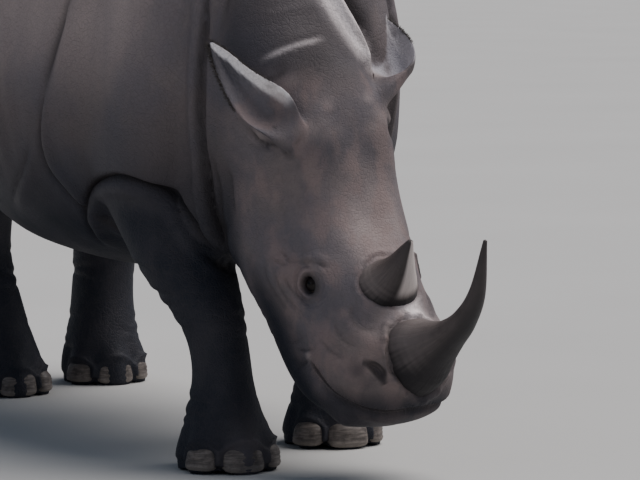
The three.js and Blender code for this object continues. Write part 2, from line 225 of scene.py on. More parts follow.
# %% Trunk and neck rows, in millimetres
BODY = [
    [-1800, 0, 1300, -1800, 0, 1070, 90, 0.5, 2],
    [-1730, 0, 1415, -1730, 0, 910, 250, 0.5, 2.1],
    [-1580, 0, 1530, -1590, 0, 770, 335, 0.5, 2.2],
    [-1380, 0, 1600, -1400, 0, 665, 390, 0.5, 2.2],
    [-1150, 0, 1600, -1150, 0, 560, 445, 0.47, 2.3],
    [-900, 0, 1572, -900, 0, 460, 480, 0.43, 2.4],
    [-640, 0, 1560, -640, 0, 425, 495, 0.41, 2.45],
    [-380, 0, 1580, -380, 0, 428, 470, 0.41, 2.45],
    [-140, 0, 1622, -140, 0, 465, 415, 0.42, 2.35],
    [50, 0, 1632, 40, 0, 492, 360, 0.44, 2.2],
    [200, 0, 1545, 140, 0, 510, 320, 0.45, 2.2],
    [330, 0, 1370, 215, -10, 528, 285, 0.47, 2.2],
    [440, -5, 1190, 260, -30, 560, 255, 0.5, 2.2],
    [520, -8, 1045, 305, -45, 610, 222, 0.5, 2.2],
    [560, 6, 880, 350, -30, 655, 145, 0.5, 2.2],
]
NECK_START = 0.68


def body():
    """The tube of the trunk and neck, whose sections turn with the head from NECK_START on."""
    t = np.linspace(0, 1, 160)
    rows = stations(BODY)(t)
    back, belly = rows[:, :3] / 1000, rows[:, 3:6] / 1000
    tall = np.linalg.norm(back - belly, axis=1)
    up = unit(back - belly)
    turn = np.radians(YAW) * ease(t, NECK_START, 1)
    side = np.stack([-np.sin(turn), np.cos(turn), 0 * turn], 1)
    high = rows[:, 7]
    centre = belly + up * (tall * high)[:, None]
    return tube(centre, side, up, rows[:, 6] / 1000, tall * (1 - high), tall * high, rows[:, 8], 144, 0.012)


# %% [markdown]
# ## Masses of muscle
# Shoulder, breast and haunch stand out of the barrel as blunt eggs. The shoulder overhangs the top of the
# fore leg like a sleeve, which is one of the things that make the animal look as if it wears its skin.

# %% Muscles
EGG_SQUARENESS = 2.6


def directions(rows, around):
    """Unit directions all over a sphere, in rows of around from pole to pole, with the two poles left
    out."""
    v = np.linspace(0, np.pi, rows)[1:-1, None]
    u = np.linspace(0, 2 * np.pi, around, endpoint=False)[None]
    return np.stack([np.sin(v) * np.cos(u), np.sin(v) * np.sin(u), np.cos(v) + 0 * u], -1)


def egg(centre, sizes, lean, tilt, side):
    """A blunt egg: a sphere's directions divided by their norm of power EGG_SQUARENESS, scaled to the half
    sizes, tipped inward by tilt and forward by lean, then moved."""
    rays = directions(42, 64)
    rays /= (np.abs(rays) ** EGG_SQUARENESS).sum(-1, keepdims=True) ** (1 / EGG_SQUARENESS)
    poles = np.array([[[0, 0, 1.0]], [[0, 0, -1.0]]])
    place = lambda p: turned(turned(p * sizes, 0, side * tilt), 1, lean) + np.array(centre) * [1, side, 1]
    first, last = place(poles)[:, 0]
    return closed_grid(place(rays), first, last)


MUSCLES = [
    egg([0.025, 0.232, 0.985], [0.250, 0.165, 0.395], 8, 6, -1),
    egg([-0.010, 0.212, 0.985], [0.225, 0.150, 0.385], 2, 6, 1),
    egg([0.240, 0.120, 0.700], [0.140, 0.150, 0.195], 0, 0, -1),
    egg([0.200, 0.110, 0.700], [0.140, 0.140, 0.190], 0, 0, 1),
    egg([-1.390, 0.232, 1.030], [0.310, 0.182, 0.410], -12, 7, -1),
    egg([-1.390, 0.232, 1.030], [0.310, 0.182, 0.410], -12, 7, 1),
]

# %% [markdown]
# ## Legs
# Each leg is a pillar measured at heights: how far it reaches to the front, back, outside and inside of its
# centre line. The right fore leg strides, so its centre line runs forward and down from the shoulder.

# %% Leg tables, in millimetres: height, front, back, outside, inside, and how far forward the centre is
FORE_LEG = [
    [0, 128, 108, 112, 108, 0],
    [30, 138, 116, 122, 118, 0],
    [95, 120, 104, 106, 102, -1],
    [190, 90, 84, 78, 76, -1],
    [300, 80, 80, 72, 71, -2],
    [385, 98, 104, 90, 88, -5],
    [460, 124, 138, 114, 110, -8],
    [520, 138, 155, 122, 120, -10],
    [660, 160, 180, 105, 110, -14],
    [900, 110, 110, 40, 40, -20],
]
HIND_LEG = [
    [0, 122, 104, 108, 104, 0],
    [30, 134, 112, 120, 114, -3],
    [95, 122, 106, 110, 106, -9],
    [190, 102, 97, 94, 90, -23],
    [300, 94, 94, 88, 84, -44],
    [430, 118, 114, 98, 92, -70],
    [550, 184, 134, 116, 104, -66],
    [730, 290, 190, 142, 114, 10],
    [1000, 330, 280, 130, 110, 60],
]
stride = curve([0, 0.18, 0.34, 0.49, 0.64, 0.86], [1, 1, 0.92, 0.62, 0.3, 0])
standing = lambda top: lambda z: ease(top - z, 0, top)
LEGS = {
    "leg_fore_right": (FORE_LEG, -1, [-0.097, -0.290], [0.300, -0.200], stride),
    "leg_fore_left": (FORE_LEG, 1, [-0.050, 0.240], [0.010, 0.215], standing(0.82)),
    "leg_hind_right": (HIND_LEG, -1, [-1.380, -0.255], [-1.290, -0.170], standing(0.9)),
    "leg_hind_left": (HIND_LEG, 1, [-1.380, 0.255], [-1.445, 0.180], standing(0.9)),
}


def leg(table, side, hip, foot, share):
    """A pillar: at each height the centre line stands a share of the way from the hip's place to the
    foot's."""
    table = np.array(table) / 1000
    z = table[-1, 0] * (1 - np.linspace(0, 1, 90)) ** 1.25
    front, back, outer, inner, ahead = curve(table[:, 0], table[:, 1:])(z).T
    place = np.array(hip) + (np.array(foot) - hip) * share(z)[:, None]
    centre = np.stack([place[:, 0] + ahead + (front - back) / 2, place[:, 1], z], 1)
    x = np.tile([1.0, 0, 0], (len(z), 1))
    y = np.tile([0, float(side), 0], (len(z), 1))
    return tube(centre, x, y, (front + back) / 2, outer, inner, 2.15, 72)


# %% [markdown]
# ## Head
# Long and low, with a nearly straight forehead line, a deep jaw and the broad square lips of a grazer. Each
# row gives the forehead line, the jaw line, half the width, the widest level and the squareness.

# %% Head rows, in shares of its length
HEAD = [
    [-0.04, -0.08, 0.1, -0.42, 0.12, 0.5, 2.2],
    [0.02, -0.01, 0.14, -0.49, 0.19, 0.5, 2.2],
    [0.12, -0.01, 0.2, -0.535, 0.236, 0.48, 2.2],
    [0.24, -0.05, 0.28, -0.56, 0.248, 0.45, 2.2],
    [0.36, -0.095, 0.37, -0.565, 0.25, 0.45, 2.2],
    [0.48, -0.12, 0.46, -0.56, 0.242, 0.45, 2.2],
    [0.58, -0.12, 0.55, -0.55, 0.222, 0.45, 2.2],
    [0.68, -0.115, 0.64, -0.535, 0.208, 0.42, 2.3],
    [0.78, -0.1, 0.73, -0.525, 0.198, 0.4, 2.4],
    [0.87, -0.1, 0.82, -0.5, 0.186, 0.4, 2.5],
    [0.94, -0.13, 0.885, -0.46, 0.16, 0.42, 2.6],
    [0.985, -0.19, 0.93, -0.425, 0.14, 0.4, 2.5],
    [1.0, -0.26, 0.955, -0.38, 0.1, 0.4, 2.3],
]


def head():
    """The tube of the head, made in its own axes and then placed."""
    rows = stations(HEAD)(np.linspace(0, 1, 110))
    zero = 0 * rows[:, 0]
    crown = np.stack([rows[:, 0], zero, rows[:, 1]], 1)
    jaw = np.stack([rows[:, 2], zero, rows[:, 3]], 1)
    tall = np.linalg.norm(crown - jaw, axis=1)
    up = unit(crown - jaw)
    high = rows[:, 5]
    side = np.tile([0, 1.0, 0], (len(rows), 1))
    centre = jaw + up * (tall * high)[:, None]
    above, below = tall * (1 - high), tall * high
    vertices, faces = tube(centre, side, up, rows[:, 4], above, below, rows[:, 6], 128, 0.014)
    return from_head(vertices), faces


# %% [markdown]
# ## Ears
# Each ear is a cupped leaf that narrows to a stalk, hollow towards where it listens. The wall has a real
# thickness, so that the rim catches the light as it does on the animal.

# %% Ears: base in shares of the head, and the ways to the tip, out of the hollow and down the stalk
EARS = {
    "ear_right": ([0.144, -0.216, -0.047], [-2.413, -0.911, -0.419], [0.98, 0.07, 0.7], [0.0, 0.55, -0.83]),
    "ear_left": ([0.043, 0.213, -0.039], [-2.35, 1.40, -1.57], [-0.09, -0.66, 0.93], [0.25, -0.75, -0.6]),
}
EAR_LENGTH = 0.255
EAR_BROAD = {"ear_right": 1.04, "ear_left": 0.97}
# Along the ear, from -0.25 at the stalk's end to 1 at the tip: half the width, what share of it the upper
# half has, how deep the hollow is as a share of the width, how thick the wall is, and how far the stalk
# sinks.
ear_width = curve(
    [-0.25, -0.1, 0, 0.2, 0.4, 0.6, 0.8, 0.93, 1],
    np.array([34, 40, 46, 60, 59, 48, 31, 15, 5]) / 1000,
)
ear_upper = {
    "ear_right": curve([-0.25, 0.05, 0.25, 0.45, 0.65, 1], [1, 1, 0.86, 0.62, 0.52, 0.7]),
    "ear_left": curve([-0.25, 1], [1, 1]),
}
ear_cup = curve([-0.25, -0.1, 0, 0.1, 0.3, 0.6, 0.85, 1], [0.0, 0.15, 0.5, 0.85, 0.85, 0.6, 0.35, 0.2])
ear_wall = curve([-0.25, -0.1, 0, 0.12, 0.3, 1], [0.026, 0.023, 0.015, 0.0085, 0.0068, 0.0045])
ear_drop = curve([-0.25, -0.12, 0, 0.1, 1], [0.075, 0.036, 0.009, 0, 0])
# How much painted light the hollow's face gets, how much painted shade its lower half gets, how strong
# the painted highlight along the upper edge is, and where that highlight starts across the ear, from -1
# at the lower edge to 1 at the upper one.
EAR_HOLLOW_LIGHT = {"ear_right": 0.08, "ear_left": 0.9}
EAR_SHADE = {"ear_right": 0.15, "ear_left": 0.0}
RIM_HIGHLIGHT = {"ear_right": 1.0, "ear_left": 0.3}
ribbon_from = curve([0, 0.2, 0.5, 0.75, 0.9, 1], [0.6, 0.5, 0.28, 0.02, -0.35, -0.8])


def ear_axes(name):
    """An ear's base and its axes: towards the tip, across, and out of the hollow, in the working frame."""
    base, aim, opening, _ = (np.array(v) for v in EARS[name])
    aim = unit(aim)
    opening = unit(opening - aim * (opening @ aim))
    return from_head(base), np.stack([aim, np.cross(aim, opening), opening]) @ HEAD_AXES


def ear(name):
    """A leaf: along it t, round it an angle. It reaches width * c across, where c is the cosine made blunt,
    and its face lies in a hollow that deepens to the middle as 1 - c squared, thickened by wall * the blunt
    sine. The rims are thick; the upper one rolls outward and the lower one away. Below t = 0 the leaf
    closes to a thick stalk that sinks into the head."""
    base, axes = ear_axes(name)
    t = np.linspace(-0.25, 1, 76)[:, None]
    angle = np.linspace(0, 2 * np.pi, 88, endpoint=False)[None]
    c, s = (np.sign(v) * np.abs(v) ** (2 / 3.0) for v in (np.cos(angle), np.sin(angle)))
    width = EAR_BROAD[name] * ear_width(t) * np.where(c > 0, ear_upper[name](t), 1.0)
    rim = bell(np.abs(c), 0.88, 0.13) * ease(t, -0.05, 0.15)
    wall = ear_wall(t) * (1 + np.where(c > 0, 0.75, 0.2) * rim)
    hollow = width * ear_cup(t) * (1 - c**2)
    curl = np.where(c > 0, 0.08, -0.20) * width * np.abs(c) ** 6 * ease(t, 0.1, 0.4)
    ribs = 0.0016 * np.cos(3 * np.pi * c) * (1 - c**2) * np.where(s > 0, 1.0, 0.3)
    ribs = ribs * ease(1 - t, 0, 0.3) * ease(t, 0, 0.2)
    leaf = np.stack([EAR_LENGTH * t + 0 * c, width * c, wall * s - hollow + curl + ribs], -1)
    root = np.array(EARS[name][3]) @ HEAD_AXES
    ends = np.array([[-0.26 * EAR_LENGTH, 0, 0], [EAR_LENGTH + 0.004, 0, -0.001]])
    rings, ends = base + leaf @ axes + ear_drop(t)[..., None] * root, base + ends @ axes
    ends[0] += ear_drop(-0.25) * root
    return closed_grid(rings, ends[0], ends[1])


# %% [markdown]
# ## Tail
# A short rope of a tail that hangs to the hocks and ends in a flat tassel of bristles.

# %% Tail rows, in millimetres: x, y, z, half depth, half width
TAIL = [
    [-1720, 0, 1330, 78, 80],
    [-1800, 0, 1275, 66, 62],
    [-1850, 4, 1150, 44, 44],
    [-1868, 8, 1000, 34, 36],
    [-1866, 12, 850, 26, 30],
    [-1856, 14, 730, 24, 34],
    [-1850, 16, 640, 26, 40],
    [-1850, 16, 560, 12, 20],
]


def tail():
    """A tube along the tail's own line, flat from front to back near its end."""
    rows = stations(TAIL)(np.linspace(0, 1, 90)) / 1000
    centre = rows[:, :3]
    run = unit(np.gradient(centre, axis=0))
    side = np.tile([0, 1.0, 0], (len(rows), 1))
    up = unit(np.cross(run, side))
    return tube(centre, side, up, rows[:, 4], rows[:, 3], rows[:, 3], 2.0, 40, 0.006)


# %% [markdown]
# ## One skin
# The forms overlap like lumps of clay. They could be cut and stitched along their meeting lines, but living
# skin has no such lines. A voxel remesh melts them into one closed surface of even squares instead, and a
# few rounds of averaging with the neighbours melt the steps away. The ears are too thin for that, and join
# the skin later.

# %% Melt the forms together
forms = [body(), head(), tail(), *MUSCLES, *(leg(*shape) for shape in LEGS.values())]
vertices, faces, count = [], [], 0
for points, polygons in forms:
    vertices.append(points + SHIFT)
    faces += [[v + count for v in polygon] for polygon in polygons]
    count += len(points)
VOXEL = 0.007
clay = mesh_object("clay", np.vstack(vertices), faces)
melt = clay.modifiers.new("melt", "REMESH")
melt.mode, melt.voxel_size, melt.adaptivity = "VOXEL", VOXEL, 0.0
melted = evaluated(clay)
bpy.data.objects.remove(clay)


def read(mesh):
    """(vertices, corners of its faces) of a mesh whose faces all have the same number of corners."""
    points = np.empty(len(mesh.vertices) * 3, np.float32)
    mesh.vertices.foreach_get("co", points)
    corners = np.empty(len(mesh.loops), np.int32)
    mesh.loops.foreach_get("vertex_index", corners)
    return points.reshape(-1, 3).astype(float), corners.reshape(len(mesh.polygons), -1)


skin_points, skin_faces = read(melted)
bpy.data.meshes.remove(melted)
print("melted skin:", len(skin_points), "vertices")


# %% [markdown]
# ## Tools of the modeller
# Three tools shape the skin. Relaxing averages each vertex with its neighbours. A swelling raises a soft
# mound or presses a hollow. A stroke runs a crease or a roll along a line drawn on the skin. Each works on
# all the vertices at once, and they all add to one height that is applied along the normals.


# %% Relax, normals
def mean_of_neighbours(values, faces):
    """For each vertex the mean of the values at the vertices that share an edge with it."""
    a, b = faces.ravel(), np.roll(faces, -1, axis=1).ravel()
    n = len(values)
    weight = np.bincount(a, minlength=n) + np.bincount(b, minlength=n)
    sums = [np.bincount(a, values[b, c], n) + np.bincount(b, values[a, c], n) for c in range(values.shape[1])]
    return np.stack(sums, 1) / weight[:, None]


def relax(points, faces, rounds, amount=0.5):
    """points moved rounds times by amount (one number, or one for each vertex) towards the neighbours'
    mean."""
    amount = np.broadcast_to(amount, len(points))[:, None]
    for _ in range(rounds):
        points = points + amount * (mean_of_neighbours(points, faces) - points)
    return points


def normals_of(points, faces):
    """Unit normals: each face's two crossed diagonals give its direction and area, added up at its
    corners."""
    corner = points[faces]
    opposite = corner.shape[1] // 2
    first, second = corner[:, opposite] - corner[:, 0], corner[:, -1] - corner[:, 1]
    if corner.shape[1] == 3:
        first, second = corner[:, 1] - corner[:, 0], corner[:, 2] - corner[:, 0]
    face = np.cross(first, second)
    n = len(points)
    sums = [sum(np.bincount(faces[:, k], face[:, c], n) for k in range(faces.shape[1])) for c in range(3)]
    return unit(np.stack(sums, 1) + 1e-20)


# %% First relaxing
skin_points = relax(skin_points, skin_faces, 4)
thin = np.maximum.reduce([
    ease(-skin_points[:, 2], -0.12, -0.06),
    ease(-skin_points[:, 0], 1.38, 1.42) * ease(-skin_points[:, 2], -1.2, -1.0),
    0.75 * ease(to_head(skin_points)[:, 0], 0.1, 0.4) * ease(skin_points[:, 0], 0.85, 0.95),
])
flow = 0.5 * (1 - 0.96 * thin)
skin_points = relax(skin_points, skin_faces, 40, flow)
SOLE = 0.010
skin_points[:, 2] = np.where(skin_points[:, 2] < SOLE, 0.0, skin_points[:, 2])
skin_normals = normals_of(skin_points, skin_faces)
print("relaxed; lowest and highest", skin_points.min(0).round(3), skin_points.max(0).round(3))

# %% [markdown]
# ## Mounds and creases
# Muscles, bones and fat show as soft mounds and hollows, and the thick hide folds where the body bends. A
# fold has a narrow furrow with a roll of skin on one side that leans over it. Drawing each fold as a line
# on the skin, with its width, depth and roll, gives the control that a sculptor has with a rake, and every
# fold can be moved later.


# %% Mounds
def mounds(points, rows, both=True):
    """The sum of soft mounds. Each row is a place, three sizes and a height, and adds height * exp(-d
    squared), where d is the distance from the place measured in sizes. Rows off the middle are repeated on
    the other side."""
    height = np.zeros(len(points))
    for x, y, z, length, width, tall, rise in rows:
        for side in (1, -1) if both and y else (1,):
            d = (points - [x, y * side, z]) / [length, width, tall]
            height += rise * np.exp(-np.minimum((d**2).sum(1), 40))
    return height


# %% Lines on the skin
def on_skin(guide, tree, step=0.01):
    """A smooth line through the guide's points, every step or so, each pulled to the nearest place on the
    skin."""
    guide = np.asarray(guide, float)
    run = np.concatenate([[0], np.cumsum(np.linalg.norm(np.diff(guide, axis=0), axis=1))])
    line = curve(run, guide)(np.linspace(0, run[-1], max(4, int(run[-1] / step))))
    for _ in range(2):
        line = np.array([tree.find_nearest(point)[0] for point in line.tolist()])
        line[1:-1] = (line[:-2] + 2 * line[1:-1] + line[2:]) / 4
    return line


def nearest_on(line, points, reach):
    """For the points within reach of the line: their numbers, how far along the line each one's nearest
    place is (0 to 1), the offset from there, and the line's direction there."""
    low, high = line.min(0) - reach, line.max(0) + reach
    near = np.flatnonzero(((points > low) & (points < high)).all(1))
    here = points[near]
    best = np.full(len(near), np.inf)
    share, offset, way = np.zeros(len(near)), np.zeros((len(near), 3)), np.zeros((len(near), 3))
    last = len(line) - 1
    for i in range(last):
        a, d = line[i], line[i + 1] - line[i]
        t = np.clip((here - a) @ d / (d @ d), 0, 1)
        away = here - a - t[:, None] * d
        gap = (away**2).sum(1)
        closer = gap < best
        best[closer], share[closer] = gap[closer], (i + t[closer]) / last
        offset[closer], way[closer] = away[closer], d / np.linalg.norm(d)
    kept = best < reach**2
    return near[kept], share[kept], offset[kept], way[kept]


# %% Folds
def fold(points, normals, line, width, depth, roll=0.0, lean=0.0, ends=(0.2, 0.2), pinch=0.45):
    """(moves, painted shade) of one fold: across it by s, the skin sinks by depth * exp(-(s / width)
    squared).
    On the side that the normal's cross with the line points to, it rises by roll in a wider bell and leans
    over the groove. Both fade to nothing over the shares of its length in ends. Near the line the skin is
    pinched together. The second result is a bell along the groove, where painted shade is laid."""
    moves, crease_shade = np.zeros_like(points), np.zeros(len(points))
    near, share, offset, way = nearest_on(line, points, 7 * width)
    normal = normals[near]
    offset = offset - (offset * normal).sum(1, keepdims=True) * normal
    side = unit(np.cross(normal, way))
    across = (offset * side).sum(1)
    beyond = np.maximum(np.linalg.norm(offset, axis=1) - np.abs(across), 0)
    fade = ease(share, 0, ends[0] + 1e-9) * ease(1 - share, 0, ends[1] + 1e-9) * bell(beyond, 0, 2 * width)
    s = across / width
    dip = np.exp(-(s**2))
    swell = bell(s, 2.1, 1.5)
    rise = fade * (roll * swell - depth * dip)
    slide = -fade * (pinch * across * dip + lean * bell(s, 1.0, 1.1))
    moves[near] = rise[:, None] * normal + slide[:, None] * side
    crease_shade[near] = fade * bell(s, 0, 0.7)
    return moves, crease_shade


def mirrored(guide):
    """The same guide on the animal's other side."""
    return np.asarray(guide, float) * [1, -1, 1]


# %% [markdown]
# ## The body's own relief
# The shoulder blade, hip bones, ribs and spine lie under the hide. The hide hangs in a heavy fold behind
# the shoulder, another where the neck bends, and a sleeve over the fore leg.

# %% Bones and muscles of the body: place, sizes and rise, in metres
BODY_MOUNDS = [
    [-0.58, 0.30, 1.44, 0.11, 0.09, 0.10, 0.030],
    [-0.42, 0.40, 1.24, 0.16, 0.12, 0.15, -0.022],
    [-0.72, 0.34, 0.62, 0.14, 0.14, 0.12, 0.016],
    [-1.22, 0.26, 1.16, 0.12, 0.12, 0.14, 0.014],
    [-1.18, 0.13, 1.38, 0.12, 0.08, 0.10, -0.014],
    [0.34, 0.30, 1.32, 0.07, 0.12, 0.24, 0.020],
    [0.18, 0.36, 1.24, 0.10, 0.12, 0.18, -0.014],
    [0.50, 0.30, 0.98, 0.10, 0.12, 0.16, 0.012],
    [0.02, 0.44, 0.62, 0.16, 0.16, 0.10, 0.014],
    [0.36, 0.20, 1.52, 0.20, 0.08, 0.10, 0.012],
    [0.62, 0.16, 0.76, 0.08, 0.10, 0.14, 0.014],
    [0.60, 0.0, 0.62, 0.08, 0.05, 0.16, -0.014],
    [0.56, 0.14, 1.33, 0.13, 0.07, 0.09, 0.016],
    [-0.86, 0.26, 0.50, 0.10, 0.12, 0.09, 0.014],
    [0.20, 0.40, 0.50, 0.06, 0.08, 0.06, 0.014],
]


def spine(points):
    """A low ridge of back bones along the back, and faint ribs on the flanks: waves along the body that
    fade upward, downward and at both ends."""
    x, y, z = points.T
    back = ease(z, 1.28, 1.5) * ease(0.62 - x, 0, 0.2) * ease(x, -1.3, -1.0)
    ridge = back * (0.010 * bell(y, 0, 0.05) * (1 + 0.25 * np.sin(x * 2 * np.pi / 0.085)))
    beside = back * -0.010 * bell(np.abs(y), 0.13, 0.06)
    flank = ease(z, 0.62, 0.8) * ease(1.4 - z, 0, 0.3) * ease(x, -0.55, -0.3) * ease(0.12 - x, 0, 0.2)
    ribs = flank * 0.0035 * np.sin((x + 0.25 * z) * 2 * np.pi / 0.092)
    return ridge + beside + ribs


# %% Heavy folds of the body: guide, width, depth, roll, lean, ends, and whether both sides have it
SHOULDER_EDGE = [
    [0.35, -0.30, 1.36], [0.30, -0.37, 1.24], [0.24, -0.42, 1.11], [0.18, -0.44, 0.94], [0.14, -0.44, 0.82],
    [0.135, -0.42, 0.71], [0.18, -0.37, 0.63], [0.19, -0.34, 0.59], [0.11, -0.26, 0.50],
]
SLEEVE = [
    [0.68, -0.19, 0.52], [0.68, -0.24, 0.57], [0.60, -0.28, 0.655], [0.52, -0.365, 0.69], [0.35, -0.37, 0.67],
    [0.24, -0.35, 0.63], [0.14, -0.28, 0.51],
]
NECK_REAR = [
    [0.70, -0.15, 0.52], [0.74, -0.23, 0.60], [0.745, -0.26, 0.72], [0.76, -0.28, 0.89],
    [0.755, -0.265, 1.06], [0.68, -0.20, 1.27],
]
FOLDS = [
    (SHOULDER_EDGE[:5], 0.026, 0.012, 0.009, 0.0, (0.2, 0.3), True),
    (SHOULDER_EDGE[3:], 0.013, 0.024, 0.014, 0.006, (0.35, 0.15), True),
    ([[0.26, -0.40, 1.18], [0.26, -0.41, 1.05], [0.215, -0.43, 0.90]],
     0.020, -0.005, 0.0, 0.0, (0.3, 0.4), True),
    (SLEEVE, 0.013, 0.028, 0.016, 0.012, (0.12, 0.2), False),
    ([[0.23, 0.35, 0.56], [0.27, 0.37, 0.63], [0.36, 0.375, 0.665], [0.46, 0.36, 0.67], [0.54, 0.33, 0.64],
      [0.58, 0.28, 0.58], [0.60, 0.22, 0.53]], 0.014, 0.028, 0.016, 0.010, (0.15, 0.15), False),
    (NECK_REAR, 0.013, 0.024, 0.016, 0.006, (0.12, 0.35), False),
    ([[0.69, 0.20, 1.25], [0.71, 0.26, 1.10], [0.71, 0.29, 0.95], [0.70, 0.28, 0.80], [0.69, 0.26, 0.68],
      [0.68, 0.22, 0.58], [0.66, 0.14, 0.52]], 0.016, 0.026, 0.018, 0.006, (0.3, 0.12), False),
    ([[0.785, -0.26, 0.80], [0.77, -0.235, 0.68], [0.74, -0.19, 0.545]],
     0.011, 0.010, 0.006, 0.0, (0.4, 0.2), False),
    ([[0.83, -0.23, 0.75], [0.835, -0.225, 0.67], [0.85, -0.21, 0.62]],
     0.011, 0.007, 0.005, 0.0, (0.4, 0.3), False),
    ([[0.72, -0.16, 1.30], [0.775, -0.19, 1.20], [0.80, -0.21, 1.10], [0.81, -0.225, 1.02]],
     0.013, 0.008, 0.005, 0.0, (0.4, 0.4), False),
    ([[-0.36, 0.43, 1.02], [-0.42, 0.43, 0.88], [-0.50, 0.41, 0.76], [-0.56, 0.38, 0.66], [-0.60, 0.33, 0.56],
      [-0.60, 0.26, 0.50]], 0.018, 0.020, 0.012, 0.005, (0.4, 0.2), True),
    ([[-0.52, 0.41, 0.98], [-0.60, 0.41, 0.85], [-0.68, 0.38, 0.74], [-0.72, 0.34, 0.64]],
     0.014, 0.009, 0.006, 0.0, (0.4, 0.3), True),
    ([[-1.36, 0.10, 1.20], [-1.37, 0.12, 1.05], [-1.33, 0.14, 0.90], [-1.26, 0.15, 0.78], [-1.2, 0.13, 0.70]],
     0.016, 0.020, 0.010, 0.004, (0.3, 0.3), True),
    ([[0.30, -0.10, 0.50], [0.30, -0.2, 0.52], [0.27, -0.30, 0.55], [0.22, -0.36, 0.60]],
     0.012, 0.014, 0.008, 0.0, (0.3, 0.3), False),
    ([[0.62, -0.20, 0.60], [0.655, -0.12, 0.56], [0.66, -0.03, 0.55], [0.645, 0.07, 0.555],
      [0.60, 0.17, 0.58]], 0.014, 0.014, 0.010, 0.0, (0.3, 0.3), False),
    ([[0.76, -0.17, 0.62], [0.785, -0.10, 0.60], [0.785, -0.02, 0.60], [0.765, 0.07, 0.61]],
     0.014, 0.014, 0.010, 0.0, (0.3, 0.3), False),
    ([[0.10, -0.43, 0.80], [0.02, -0.46, 0.68], [-0.08, -0.46, 0.60], [-0.2, -0.43, 0.53]],
     0.014, 0.007, 0.005, 0.0, (0.3, 0.5), False),
    ([[0.10, 0.43, 0.80], [0.02, 0.46, 0.68], [-0.08, 0.46, 0.60], [-0.2, 0.43, 0.53]],
     0.014, 0.007, 0.005, 0.0, (0.3, 0.5), False),
]

# %% [markdown]
# ## The nape, the poll and the ears' roots
# With the head down, the tendon of the neck draws two ridges along the crest, lit by a painted highlight, and
# the hide gathers in small creases behind the poll.

# %% Folds of the nape
NAPE = [
    ([[0.79, -0.03, 1.26], [0.85, 0.005, 1.175], [0.89, 0.04, 1.10], [0.90, 0.085, 1.02],
      [0.90, 0.105, 0.955], [0.91, 0.11, 0.92]], 0.019, -0.016, -0.022, 0.0, (0.25, 0.2)),
    ([[0.775, -0.055, 1.26], [0.835, -0.02, 1.18], [0.87, 0.01, 1.10], [0.885, 0.05, 1.02]],
     0.011, -0.008, 0.0, 0.0, (0.3, 0.3)),
    ([[0.77, -0.02, 1.24], [0.835, 0.05, 1.16], [0.865, 0.09, 1.09], [0.885, 0.135, 0.98]],
     0.030, 0.018, 0.0, 0.0, (0.3, 0.2)),
    ([[0.84, -0.03, 1.20], [0.88, 0.0, 1.12], [0.91, 0.06, 1.0]], 0.006, 0.005, 0.0, 0.0, (0.3, 0.3)),
    ([[0.925, -0.20, 0.985], [0.955, -0.14, 1.02], [0.94, -0.03, 1.04]],
     0.008, 0.0018, 0.002, 0.0, (0.3, 0.3)),
    ([[0.86, -0.17, 1.06], [0.885, -0.12, 1.085], [0.88, -0.02, 1.11]], 0.012, -0.0025, 0.0, 0.0, (0.3, 0.3)),
]

# %% [markdown]
# ## Wrinkles of the legs
# Where a leg bends at the wrist, the elbow or the hock, the hide lies in rings that are deeper at the back.
# The rings are waves of height that wander as they go round.


# %% Rings, at these heights in metres
FORE_RINGS = [0.105, 0.135, 0.17, 0.335, 0.362, 0.392, 0.425, 0.47]
HIND_RINGS = [0.11, 0.14, 0.175, 0.30, 0.335, 0.38]


def rings(points, name):
    """Wrinkles round one leg: bells of depth at certain heights, which rise and fall as they go round and
    fade in and out with slow waves of the angle."""
    _, side, hip, foot, share = LEGS[name]
    place = np.array(hip) + (np.array(foot) - hip) * share(points[:, 2])[:, None] + SHIFT[:2]
    away = points[:, :2] - place
    around = np.arctan2(away[:, 1] * side, away[:, 0])
    inside = (np.linalg.norm(away, axis=1) < 0.24) & (points[:, 2] < 0.6)
    height = np.zeros(len(points))
    for i, ring in enumerate(FORE_RINGS if "fore" in name else HIND_RINGS):
        wander = 0.008 * np.sin(around + 1.7 * i) + 0.005 * np.sin(2 * around + 2.3 * i)
        wander = wander + 0.003 * np.sin(5 * around + i)
        strength = 0.55 + 0.45 * np.cos(around - np.pi + 0.9 * np.sin(1.3 * i))
        height -= 0.0042 * strength * bell(points[:, 2] - ring, wander, 0.007)
        height += 0.0020 * strength * bell(points[:, 2] - ring - wander, 0.015, 0.009)
    return np.where(inside, height, 0)


# %% Toes: each nail's turn from straight ahead in degrees, and half widths and heights in metres
NAIL_TURNS = {"1": -56, "2": 0, "3": 56}
MIDDLE_NAIL, OUTER_NAIL = (0.054, 0.034), (0.042, 0.030)


